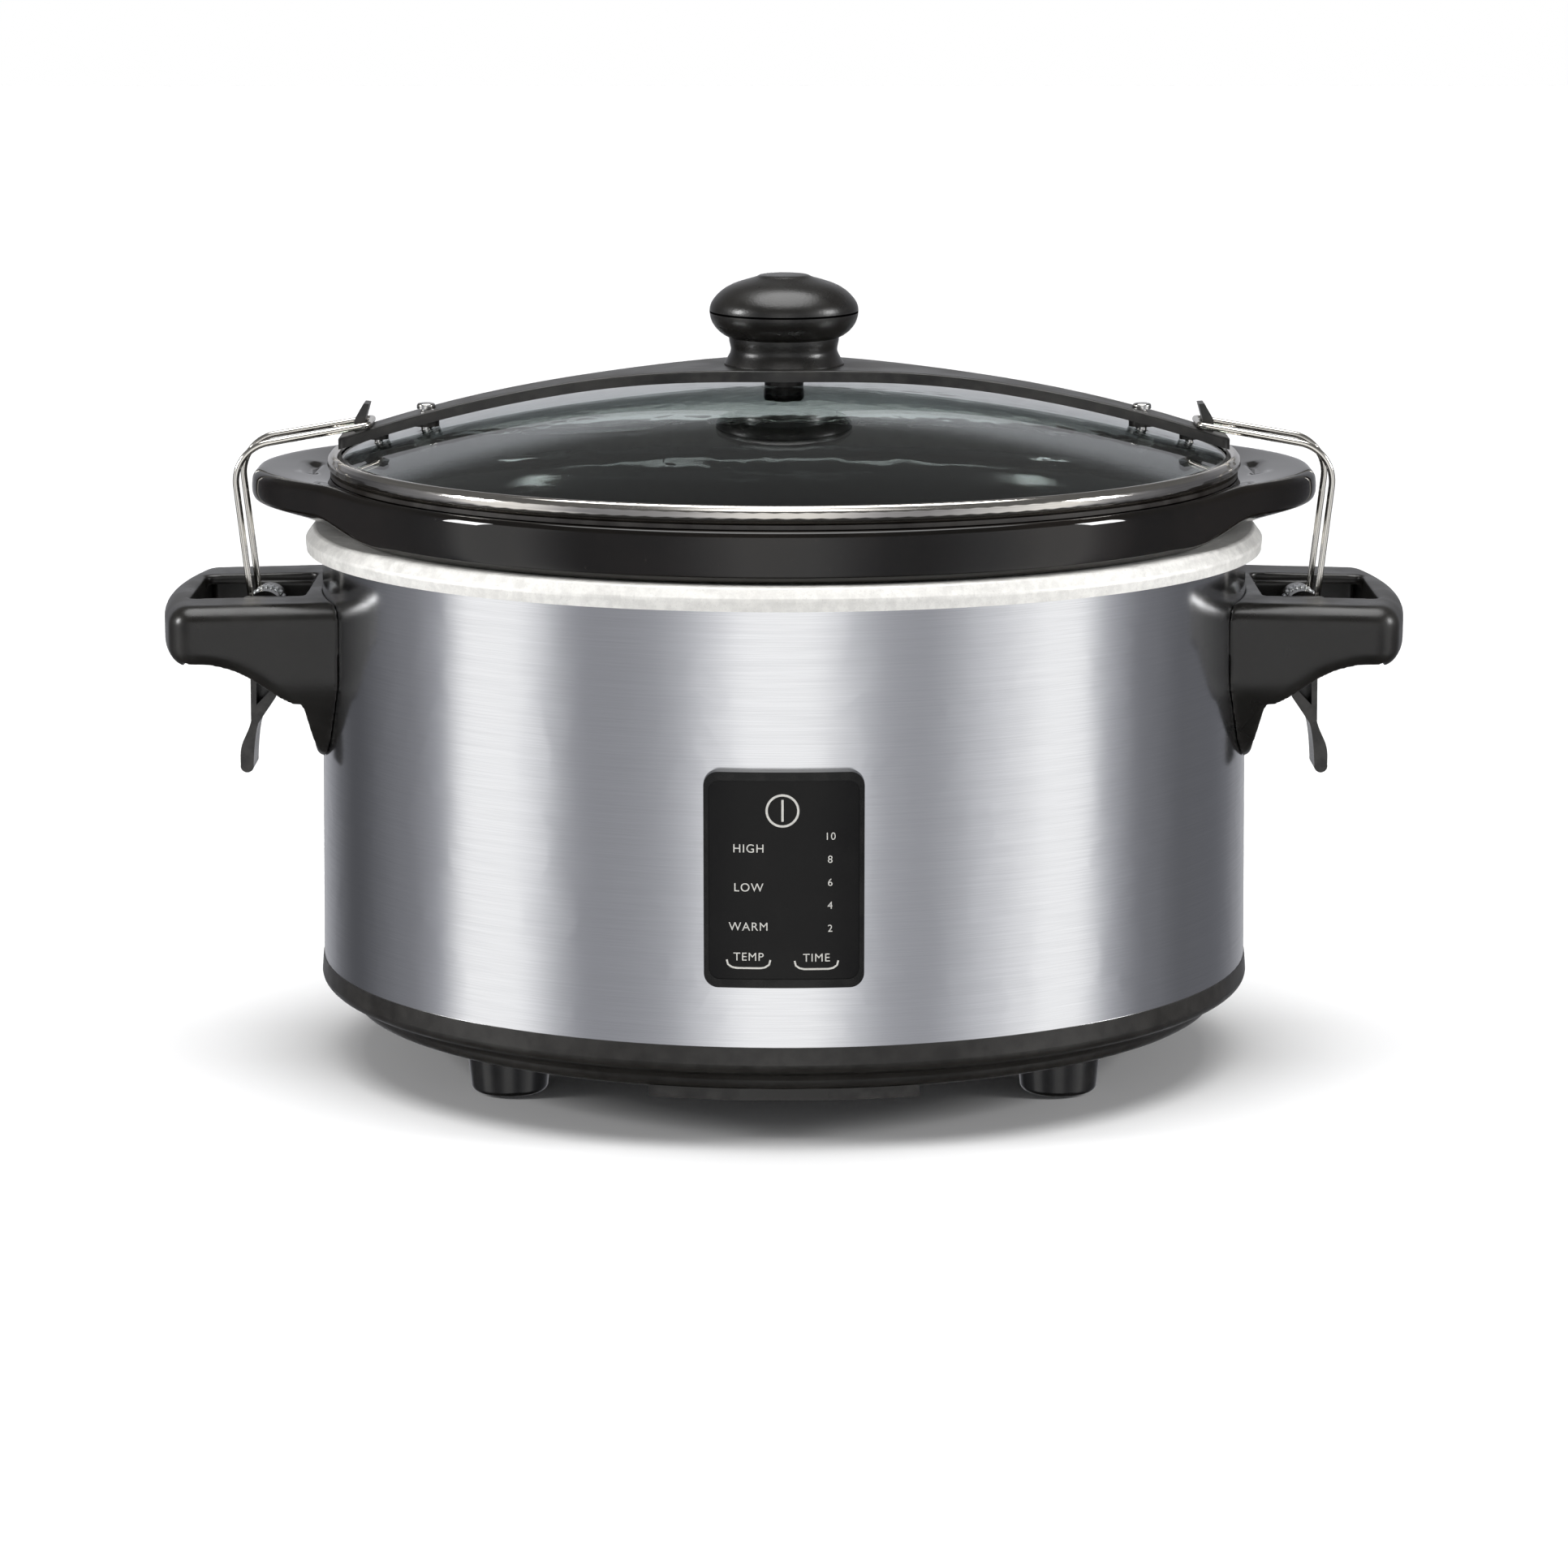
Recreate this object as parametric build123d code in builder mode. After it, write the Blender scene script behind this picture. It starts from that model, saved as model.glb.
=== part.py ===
"""Oval seven-quart slow cooker with a wire-latched glass lid. Millimetres, +Z up, resting on z = 0.

X runs along the long axis through the two handles, and the control panel faces -Y. Every oval
piece is a round one squeezed in Y by the same ratio, so gaps between nested pieces stay even.
"""

from build123d import *
import math
import os

os.makedirs("parts", exist_ok=True)

# ---- driving dimensions ------------------------------------------------------------------
OVAL = 0.862              # short axis over long axis of every oval piece
FLOOR_Z = 19.0            # underside of the base, which the feet hold off the table
LIP_Z = 36.6              # top of the base's lip, where the steel shell starts
RIM_Z = 191.5             # top of the heating well's rolled rim
CROCK_TOP_Z = 209.2       # flat top of the stoneware collar
GLASS_TOP_Z = 240.0       # crown of the glass dome
BAR_TOP_Z = 247.8         # crown of the strap over the glass
KNOB_TOP_Z = 279.1        # overall height

SHELL_LOW = 166.0         # long half-axes
SHELL_HIGH = 163.6
SHELL_SHEET = 0.8
BASE_LOW = 156.5
BASE_LIP = 166.8
RIM_EDGE = 169.6
WELL_WALL = 146.0
WELL_SHEET = 1.0
WELL_FLOOR_Z = 54.0
CROCK_WALL = 143.0
COLLAR = 163.5
LID_EDGE = 161.4
GLASS_EDGE = 158.3
GLASS_THICK = 3.4
GLASS_RISE = 24.4         # dome height over a long half-axis of 157

FOOT_X, FOOT_Y, FOOT_R = 96.0, 65.0, 15.0
BAR_WIDTH, BAR_THICK, BAR_RADIUS = 19.0, 4.0, 490.0
BAR_MIDDLE_WIDTH, BAR_SWELL = 49.0, 78.0   # the strap swells round the knob, within this reach
BAR_END = 157.3
POST_X = 126.6            # screw posts that hold the strap to the glass
HOOK_X = 149.5            # prongs that the wire bails catch
HOOK_SCREW_X = 143.6
CLEARANCE = 0.3           # between pieces that move past each other

HANDLE_Y = 48.0           # half width of a handle
HANDLE_TOP_Z = 168.0
GRIP_TIP = 219.7          # half the overall width
GRIP_CORNER = 212.4       # where the grip's bowed end meets its flat side faces
LEVER_PIVOT = (-184.2, 161.5)   # latch lever's axis, left side, as x and z
BAIL_PIVOT = (-188.2, 160.5)    # wire end's axis, left side, as x and z
WIRE_R = 1.15
PIN_R = 1.25
HUB_R = 6.2
LEVER_SWING = 45.0

PANEL_X, PANEL_Z = 53.0, 72.6   # control panel, width and height
PANEL_MID_Z = 94.2
PANEL_PROUD = 3.5


# ---- shared construction -----------------------------------------------------------------
def save(piece, name):
    """Label a finished piece and write it under its node name."""
    piece.label = name
    export_step(piece, f"parts/{name}.step")


def turned(*outline):
    """Oval piece turned from a closed outline of (long half-axis, height) points."""
    with BuildPart() as piece:
        with BuildSketch(Plane.XZ):
            with BuildLine():
                Polyline(*outline, close=True)
            make_face()
        revolve(axis=Axis.Z)
        scale(by=(1, OVAL, 1))
    return piece.part


def bent_sheet(line, radius, thickness, side=Side.LEFT):
    """Oval piece pressed from sheet: the line of (long half-axis, height) points with round bends."""
    with BuildPart() as piece:
        with BuildSketch(Plane.XZ):
            with BuildLine():
                bends = FilletPolyline(*line, radius=radius)
                offset(bends, amount=thickness, side=side, closed=True)
            make_face()
        revolve(axis=Axis.Z)
        scale(by=(1, OVAL, 1))
    return piece.part


def shell_half_axis(z):
    """Long half-axis of the steel shell's outside at a height."""
    return SHELL_LOW + (SHELL_HIGH - SHELL_LOW) * (z - LIP_Z) / (RIM_Z - LIP_Z)


def oval_x(half_axis, y):
    """Distance from the middle to an oval of this long half-axis, at this y."""
    return half_axis * math.sqrt(1 - (y / (OVAL * half_axis)) ** 2)


def glass_z(x):
    """Height of the glass dome's outside over the long axis."""
    radius = (157**2 + GLASS_RISE**2) / (2 * GLASS_RISE)
    return GLASS_TOP_Z - radius + math.sqrt(radius**2 - x**2)


def bar_z(x):
    """Height of the strap's top over the long axis."""
    return BAR_TOP_Z - BAR_RADIUS + math.sqrt(BAR_RADIUS**2 - x**2)


def pins(places, radius, low, high):
    """A group of upright round solids at (x, y) places."""
    with BuildPart() as group:
        with BuildSketch(Plane.XY.offset(low)):
            with Locations(*places):
                Circle(radius)
        extrude(amount=high - low)
    return group.part


def both_sides(left):
    """The left piece and its mirror image on the right."""
    return left, mirror(left, about=Plane.YZ)


# ---- base: moulded tray, feet, tie bolt and cord gland ------------------------------------
FEET = [(sx * FOOT_X, sy * FOOT_Y) for sx in (-1, 1) for sy in (-1, 1)]
BOARD_POSTS = [(sx * 42.0, -62.0 + sy * 24.0) for sx in (-1, 1) for sy in (-1, 1)]
GLAND_Z = 27.5
GLAND_BORE = 3.6
GLAND_TIP_Y = 152.1
TIE_R = 3.0


def base_tray():
    with BuildPart() as tray:
        with BuildSketch(Plane.XZ):
            with BuildLine():
                Polyline((0, FLOOR_Z), (BASE_LOW - 5, FLOOR_Z))
                ThreePointArc((BASE_LOW - 5, FLOOR_Z), (BASE_LOW - 1.3, FLOOR_Z + 1.2),
                              (BASE_LOW, FLOOR_Z + 4))
                Spline((BASE_LOW, FLOOR_Z + 4), (BASE_LIP, LIP_Z - 6), tangents=((0.35, 1), (0.1, 1)))
                Polyline((BASE_LIP, LIP_Z - 6), (BASE_LIP - 0.5, LIP_Z), (164.4, LIP_Z),
                         (164.2, LIP_Z + 8), (162.0, LIP_Z + 8), (161.5, LIP_Z - 4),
                         (153.5, FLOOR_Z + 4), (150.5, FLOOR_Z + 2.5), (0, FLOOR_Z + 2.5), (0, FLOOR_Z))
            make_face()
        revolve(axis=Axis.Z)
        scale(by=(1, OVAL, 1))
        # skirt under the front edge, and ribs inside
        with BuildSketch(Plane.XY.offset(FLOOR_Z - 3.3)):
            with Locations((0, -126)):
                Rectangle(91, 14)
            Ellipse(BASE_LOW - 1.5, (BASE_LOW - 1.5) * OVAL, mode=Mode.INTERSECT)
            with Locations((0, -121)):
                Rectangle(86, 9, mode=Mode.SUBTRACT)
        extrude(amount=4.0)
        with BuildSketch(Plane.XY.offset(FLOOR_Z + 2)):
            with Locations(*BOARD_POSTS):
                Circle(4)
            with Locations(*FEET):
                Circle(7)
            Circle(9)
        extrude(amount=8)
        with Locations(*[(x, y, FLOOR_Z - 1) for x, y in BOARD_POSTS]):
            Hole(1.3, depth=20)
        with Locations((0, 0, FLOOR_Z + 10)):
            Hole(TIE_R + 0.3)
        with BuildSketch(Plane.XY.offset(FLOOR_Z - 0.5)):
            Circle(7.5)
        extrude(amount=6.0, mode=Mode.SUBTRACT)
        with Locations(*[(x, y, FLOOR_Z + 12) for x, y in FEET]):
            Hole(2.1)
        # cooling slots in the rear half of the floor
        with BuildSketch(Plane.XY.offset(FLOOR_Z - 0.5)):
            with GridLocations(14, 34, 7, 1):
                with Locations((0, 62)):
                    SlotOverall(34, 4, rotation=90)
        extrude(amount=4, mode=Mode.SUBTRACT)
        with BuildSketch(Plane.XZ.offset(-120)):
            with Locations((0, GLAND_Z)):
                Circle(6.1)
        extrude(amount=-40, mode=Mode.SUBTRACT)
    return tray.part


def foot(place):
    """One tapered foot with a screw counterbore and a recess for its rubber pad."""
    x, y = place
    with BuildPart() as one:
        with BuildSketch(Plane.XY.offset(0.8)):
            with Locations((x, y)):
                Circle(FOOT_R - 1.8)
        with BuildSketch(Plane.XY.offset(FLOOR_Z - 0.02)):
            with Locations((x, y)):
                Circle(FOOT_R)
        loft()
        fillet(one.edges().filter_by(GeomType.CIRCLE).group_by(Axis.Z)[0], 2.0)
        with Locations((x, y, 0.8)):
            Cylinder(9.1, 4.4, align=(Align.CENTER, Align.CENTER, Align.MIN), mode=Mode.SUBTRACT)
            Cylinder(4.6, 10.0, align=(Align.CENTER, Align.CENTER, Align.MIN), mode=Mode.SUBTRACT)
            Cylinder(2.1, 30.0, align=(Align.CENTER, Align.CENTER, Align.MIN), mode=Mode.SUBTRACT)
    return one.part


def cord_gland():
    """Flanged bush in the base's rear wall, with a tapered nose and the cord's bore."""
    with BuildPart() as gland:
        with BuildSketch(Plane((0, 0, GLAND_Z), x_dir=(1, 0, 0), z_dir=(0, 1, 0)).offset(132.0)):
            Circle(6.0)
        extrude(amount=12.0)
        with BuildSketch(Plane((0, 0, GLAND_Z), x_dir=(1, 0, 0), z_dir=(0, 1, 0)).offset(143.8)):
            Circle(8.6)
        extrude(amount=3.0)
        with BuildSketch(Plane((0, 0, GLAND_Z), x_dir=(1, 0, 0), z_dir=(0, 1, 0)).offset(146.8)):
            Circle(6.8)
        with BuildSketch(Plane((0, 0, GLAND_Z), x_dir=(1, 0, 0), z_dir=(0, 1, 0)).offset(GLAND_TIP_Y)):
            Circle(5.2)
        loft()
        with BuildSketch(Plane((0, 0, GLAND_Z), x_dir=(1, 0, 0), z_dir=(0, 1, 0)).offset(130.0)):
            Circle(GLAND_BORE)
        extrude(amount=30.0, mode=Mode.SUBTRACT)
    return gland.part


save(base_tray(), "base_tray")
save(Compound([foot(place) for place in FEET]), "feet")
save(pins(FEET, 9.0, 0.0, 4.0), "foot_pads")
with BuildPart() as foot_screws:
    with BuildSketch(Plane.XY.offset(6.0)):
        with Locations(*FEET):
            Circle(4.2)
    extrude(amount=4.75)
    with BuildSketch(Plane.XY.offset(10.5)):
        with Locations(*FEET):
            Circle(2.0)
    extrude(amount=18.0)
    with BuildSketch(Plane.XY.offset(6.0)):
        with Locations(*FEET):
            Rectangle(6.5, 1.2)
    extrude(amount=1.5, mode=Mode.SUBTRACT)
save(foot_screws.part, "foot_screws")
save(cord_gland(), "cord_gland")

# ---- steel shell, heating well and what is fixed to them ----------------------------------
WINDOW = (42.0, 60.0)
HANDLE_SCREWS = [(sy * 34.0, 152.0) for sy in (-1, 1)]


def outer_shell():
    high = RIM_Z - 4.0
    with BuildPart() as sleeve:
        add(turned((SHELL_LOW, LIP_Z), (shell_half_axis(high), high),
                   (shell_half_axis(high) - SHELL_SHEET, high), (SHELL_LOW - SHELL_SHEET, LIP_Z)))
        with BuildSketch(Plane.XZ.offset(120)):
            with Locations((0, PANEL_MID_Z)):
                RectangleRounded(*WINDOW, 3)
        extrude(amount=40, mode=Mode.SUBTRACT)
        with BuildSketch(Plane.YZ.offset(-180)):
            with Locations(*HANDLE_SCREWS):
                Circle(2.2)
        extrude(amount=360, mode=Mode.SUBTRACT)
    return sleeve.part


def heating_well():
    rim = [(0, WELL_FLOOR_Z), (WELL_WALL - 8, WELL_FLOOR_Z), (WELL_WALL, WELL_FLOOR_Z + 12),
           (WELL_WALL, RIM_Z - 3.5), (WELL_WALL + 8, RIM_Z - 0.2), (RIM_EDGE - 3.0, RIM_Z),
           (RIM_EDGE, RIM_Z - 4.0), (RIM_EDGE - 0.4, 183.7)]
    return bent_sheet(rim, 1.6, WELL_SHEET, Side.RIGHT)


def heater_band():
    """Sheathed element wrapped round the well, split at the rear and drawn together by ears."""
    wall = WELL_WALL + WELL_SHEET + 0.15
    with BuildPart() as band:
        with BuildSketch(Plane.XY.offset(72)):
            Ellipse(wall + 2.2, (wall + 2.2) * OVAL)
            Ellipse(wall, wall * OVAL, mode=Mode.SUBTRACT)
        extrude(amount=44)
        rear = (wall + 1.1) * OVAL
        with Locations((0, rear + 2.6, 94)):
            Box(15.6, 6.2, 36)
        with Locations((0, rear + 2.6, 94)):
            Box(12.0, 16, 60, mode=Mode.SUBTRACT)
        with BuildSketch(Plane.YZ.offset(-10)):
            with Locations((rear + 3.6, 84), (rear + 3.6, 104)):
                Circle(1.6)
        extrude(amount=20, mode=Mode.SUBTRACT)
    return band.part


shell = outer_shell()
save(shell, "outer_shell")
save(heating_well(), "heating_well")
save(heater_band(), "heater_band")

CLAMP_Y = (WELL_WALL + WELL_SHEET + 1.25) * OVAL + 3.6
with BuildPart() as clamp_bolts:
    for z in (84, 104):
        with Locations(Location((-12, CLAMP_Y, z), (0, 90, 0))):
            Cylinder(1.5, 24, align=(Align.CENTER, Align.CENTER, Align.MIN))
        for x in (-11.2, 8.0):
            with Locations(Location((x, CLAMP_Y, z), (0, 90, 0))):
                Cylinder(2.7, 3, align=(Align.CENTER, Align.CENTER, Align.MIN))
save(clamp_bolts.part, "heater_clamp_bolts")

SHIELD_Z = 47.5
with BuildPart() as heat_shield:
    with BuildSketch(Plane.XY.offset(SHIELD_Z)):
        Ellipse(112, 112 * OVAL)
        Circle(TIE_R + 0.2, mode=Mode.SUBTRACT)
        with Locations((30, 18)):
            Circle(9, mode=Mode.SUBTRACT)
    extrude(amount=0.8)
save(heat_shield.part, "heat_shield")

with BuildPart() as tie_bolt:
    with BuildSketch(Plane.XY.offset(14.0)):
        Circle(TIE_R)
    extrude(amount=WELL_FLOOR_Z - WELL_SHEET - 14.0 - 0.02)
    with BuildSketch(Plane.XY.offset(SHIELD_Z + 0.82)):
        Circle(7)
    extrude(amount=WELL_FLOOR_Z - WELL_SHEET - SHIELD_Z - 0.84)
save(tie_bolt.part, "tie_bolt")
with BuildPart() as tie_nut:
    with BuildSketch(Plane.XY.offset(FLOOR_Z + 0.5)):
        RegularPolygon(5.5, 6)
        Circle(TIE_R + 0.02, mode=Mode.SUBTRACT)
    extrude(amount=4.9)
save(tie_nut.part, "tie_nut")

with BuildPart() as temperature_sensor:
    with BuildSketch(Plane.XY.offset(SHIELD_Z - 2)):
        with Locations((30, 18)):
            Circle(5)
    extrude(amount=WELL_FLOOR_Z - WELL_SHEET - SHIELD_Z + 2 - 0.02)
save(temperature_sensor.part, "temperature_sensor")
with BuildPart() as sensor_bracket:
    with BuildSketch(Plane.XY.offset(SHIELD_Z - 3)):
        with Locations((30, 18)):
            SlotOverall(34, 8)
            with GridLocations(26, 0, 2, 1):
                Circle(1.3, mode=Mode.SUBTRACT)
    extrude(amount=0.98)
save(sensor_bracket.part, "sensor_bracket")

FUSE_X = WELL_WALL + WELL_SHEET + 2.8
with BuildPart() as thermal_fuse:
    with Locations(Location((FUSE_X, 30, 88), (90, 0, 0))):
        Cylinder(2.0, 14)
        Cylinder(0.5, 34)
save(thermal_fuse.part, "thermal_fuse")

# ---- electronics on the base and behind the panel ------------------------------------------
BOARD_Z = FLOOR_Z + 10.02
with BuildPart() as power_board:
    with BuildSketch(Plane.XY.offset(BOARD_Z)):
        with Locations((0, -62)):
            RectangleRounded(96, 60, 3)
        with Locations(*BOARD_POSTS):
            Circle(1.6, mode=Mode.SUBTRACT)
    extrude(amount=1.6)
save(power_board.part, "power_board")
BOARD_TOP = BOARD_Z + 1.62
BOARD_PARTS = {
    "transformer": ((-18, -60), (24, 20, 14.5)),
    "relay": ((14, -62), (20, 16, 14.0)),
    "mains_terminals": ((0, -42), (30, 9, 9.0)),
}
for name, (place, size) in BOARD_PARTS.items():
    with BuildPart() as block:
        with Locations((*place, BOARD_TOP)):
            Box(*size, align=(Align.CENTER, Align.CENTER, Align.MIN))
        fillet(block.edges().filter_by(Axis.Z), 1.2)
        chamfer(block.faces().sort_by(Axis.Z)[-1].edges(), 0.6)
    save(block.part, name)
save(pins([(34, -56), (34, -70), (-36, -76)], 4.0, BOARD_TOP, BOARD_TOP + 12), "capacitors")
with BuildPart() as board_screws:
    with BuildSketch(Plane.XY.offset(BOARD_TOP)):
        with Locations(*BOARD_POSTS):
            Circle(2.7)
    extrude(amount=2.0)
    with BuildSketch(Plane.XY.offset(BOARD_TOP - 7)):
        with Locations(*BOARD_POSTS):
            Circle(1.25)
    extrude(amount=7.5)
save(board_screws.part, "board_screws")


def panel_ring(inner, outer, width, height, corner):
    """The part of an oval ring, measured out from the shell, inside the panel's rounded outline."""
    low, high = LIP_Z + 6, RIM_Z - 20
    with BuildPart() as piece:
        add(turned((shell_half_axis(low) + inner, low), (shell_half_axis(low) + outer, low),
                   (shell_half_axis(high) + outer, high), (shell_half_axis(high) + inner, high)))
        with BuildSketch(Plane.XZ.offset(110)):
            with Locations((0, PANEL_MID_Z)):
                RectangleRounded(width, height, corner)
        extrude(amount=60, mode=Mode.INTERSECT)
    return piece.part


PANEL_BACK_Y = 135.6      # rear of the panel's board seats
with BuildPart() as control_bezel:
    add(panel_ring(0.05, PANEL_PROUD / OVAL, PANEL_X, PANEL_Z, 4.8))
    add(panel_ring(PANEL_PROUD / OVAL - 1.2, PANEL_PROUD / OVAL + 1, 49.6, 66.8, 3.6), mode=Mode.SUBTRACT)
    with BuildSketch(Plane.XZ.offset(PANEL_BACK_Y)):
        with Locations((0, PANEL_MID_Z)):
            RectangleRounded(WINDOW[0] - 0.4, WINDOW[1] - 0.4, 2.8)
            RectangleRounded(WINDOW[0] - 4.4, WINDOW[1] - 4.4, 1.5, mode=Mode.SUBTRACT)
    extrude(amount=8.0)
    with BuildSketch(Plane.XZ.offset(PANEL_BACK_Y)):
        with Locations(*[(sx * 17.2, PANEL_MID_Z + sz * 25.5) for sx in (-1, 1) for sz in (-1, 1)]):
            Circle(2.6)
    extrude(amount=7.5)
    add(panel_ring(PANEL_PROUD / OVAL - 1.2, 12.0, 60, 80, 4.8), mode=Mode.SUBTRACT)
    add(panel_ring(PANEL_PROUD / OVAL - 1.3, PANEL_PROUD / OVAL, PANEL_X, PANEL_Z, 4.8))
    add(panel_ring(PANEL_PROUD / OVAL - 1.2, PANEL_PROUD / OVAL + 1, 49.6, 66.8, 3.6), mode=Mode.SUBTRACT)
save(control_bezel.part, "control_bezel")
save(panel_ring(PANEL_PROUD / OVAL - 1.18, PANEL_PROUD / OVAL - 0.35, 49.4, 66.6, 3.5), "control_overlay")

with BuildPart() as control_board:
    with BuildSketch(Plane.XZ.offset(PANEL_BACK_Y - 1.62)):
        with Locations((0, PANEL_MID_Z)):
            RectangleRounded(41.0, 58.0, 2)
    extrude(amount=1.6)
save(control_board.part, "control_board")
SWITCHES = [(-1.0, 117.5), (-11.0, 70.0), (8.0, 70.0)]
with BuildPart() as button_switches:
    with BuildSketch(Plane.XZ.offset(PANEL_BACK_Y + 0.02)):
        with Locations(*SWITCHES):
            Rectangle(6, 6)
    extrude(amount=3.4)
    with BuildSketch(Plane.XZ.offset(PANEL_BACK_Y + 3.3)):
        with Locations(*SWITCHES):
            Circle(1.7)
    extrude(amount=0.9)
save(button_switches.part, "button_switches")
LAMPS = [(-13.5, z) for z in (104, 92, 80)] + [(9.5, z) for z in (109, 101, 93.5, 86, 78.5)]
with BuildPart() as indicator_lamps:
    with BuildSketch(Plane.XZ.offset(PANEL_BACK_Y + 0.02)):
        with Locations(*LAMPS):
            Rectangle(3, 1.6)
    extrude(amount=1.2)
save(indicator_lamps.part, "indicator_lamps")
with BuildPart() as ribbon_cable:
    with BuildLine() as ribbon_route:
        behind = -PANEL_BACK_Y + 3.2
        route = FilletPolyline((0, behind, 70), (0, behind, 44), (0, -94, 44), radius=6)
    with BuildSketch(Plane(route @ 0, z_dir=route % 0, x_dir=(1, 0, 0))):
        Rectangle(16, 0.8)
    sweep(path=route)
save(ribbon_cable.part, "ribbon_cable")

# ---- stoneware crock -------------------------------------------------------------------------
LUG_END = 187.3
LUG_TOP_Z = 211.6
LUG_LOW_Z = 197.4


def crock():
    with BuildPart() as pot:
        with BuildSketch(Plane.XZ):
            with BuildLine():
                outside = FilletPolyline(
                    (0, 58), (CROCK_WALL - 8, 58), (CROCK_WALL, 150), (CROCK_WALL, 183),
                    (CROCK_WALL + 6, RIM_Z + 0.5), (COLLAR - 2, RIM_Z + 0.5), (COLLAR, RIM_Z + 2.6),
                    (COLLAR, CROCK_TOP_Z), (150, CROCK_TOP_Z), (149.8, 200), (CROCK_WALL - 6.5, 184),
                    (CROCK_WALL - 7, 150), (CROCK_WALL - 14, 66), (0, 66),
                    radius=(20, 30, 4, 3, 1.2, 1.2, 1.5, 1.2, 6, 12, 30, 22))
                Line((0, 66), (0, 58))
            make_face()
        revolve(axis=Axis.Z)
        scale(by=(1, OVAL, 1))
        for side in (-1, 1):
            with BuildPart(mode=Mode.PRIVATE) as lug:
                with BuildSketch(Plane.XY.offset(LUG_LOW_Z)):
                    with BuildLine():
                        FilletPolyline((side * LUG_END, -29), (side * 132, -83), (side * 120, 0),
                                       (side * 132, 83), (side * LUG_END, 29),
                                       radius=(14, 3, 3, 3, 14), close=True)
                    make_face()
                extrude(amount=LUG_TOP_Z - LUG_LOW_Z)
                fillet(lug.faces().sort_by(Axis.Z)[-1].edges(), 1.6)
                rim = lug.faces().sort_by(Axis.Z)[0].edges()
                fillet(rim.filter_by(lambda e: abs(e.center().X) > 150), 5)
                with BuildSketch(Plane.XY.offset(LUG_LOW_Z - 1)):
                    Ellipse(COLLAR - 4, (COLLAR - 4) * OVAL)
                extrude(amount=40, mode=Mode.SUBTRACT)
                with BuildSketch(Plane.XY.offset(CROCK_TOP_Z)):
                    Ellipse(COLLAR - 0.4, (COLLAR - 0.4) * OVAL)
                extrude(amount=10, mode=Mode.SUBTRACT)
            add(lug.part)
    return pot.part


save(crock(), "crock")

# ---- lid: glass, steel rim, gasket, strap, knob and fasteners ----------------------------------
LID_HOLES = [(0, 2.8), (-POST_X, 2.3), (POST_X, 2.3), (-HOOK_SCREW_X, 1.7), (HOOK_SCREW_X, 1.7)]
with BuildPart() as lid_glass:
    with BuildSketch(Plane.XZ):
        with BuildLine():
            arc = [(x, glass_z(x)) for x in (0, GLASS_EDGE / 2, GLASS_EDGE)]
            below = [(x, z - GLASS_THICK) for x, z in reversed(arc)]
            ThreePointArc(*arc)
            Line(arc[-1], below[0])
            ThreePointArc(*below)
            Line(below[-1], arc[0])
        make_face()
    revolve(axis=Axis.Z)
    scale(by=(1, OVAL, 1))
    for x, r in LID_HOLES:
        with Locations((x, 0, 225)):
            Cylinder(r, 60, mode=Mode.SUBTRACT)
save(lid_glass.part, "lid_glass")

BAND_LOW_Z = 210.95
band = [(153.0, BAND_LOW_Z), (LID_EDGE - 2.0, BAND_LOW_Z), (LID_EDGE, 213.0), (LID_EDGE, 215.2),
        (LID_EDGE - 1.8, 217.4), (156.4, glass_z(156.4) + 1.1)]
save(bent_sheet(band, 1.7, 0.7, Side.LEFT), "lid_rim")
lip_z = CROCK_TOP_Z + CLEARANCE
save(turned((147.8, 203.6), (149.4, 203.6), (149.6, lip_z), (160.4, lip_z), (160.4, BAND_LOW_Z - 0.02),
            (152.8, BAND_LOW_Z - 0.02), (152.8, 212.6), (147.8, 212.6)), "lid_gasket")


SEAT_R = 21.3
KNOB_SEAT_Z = BAR_TOP_Z - 0.5
POST_R = 4.6
HUB_UNDER_R = 6.9
WASHER = 1.0
SCREW_SEAT_Z = bar_z(POST_X) + 0.4


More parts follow.
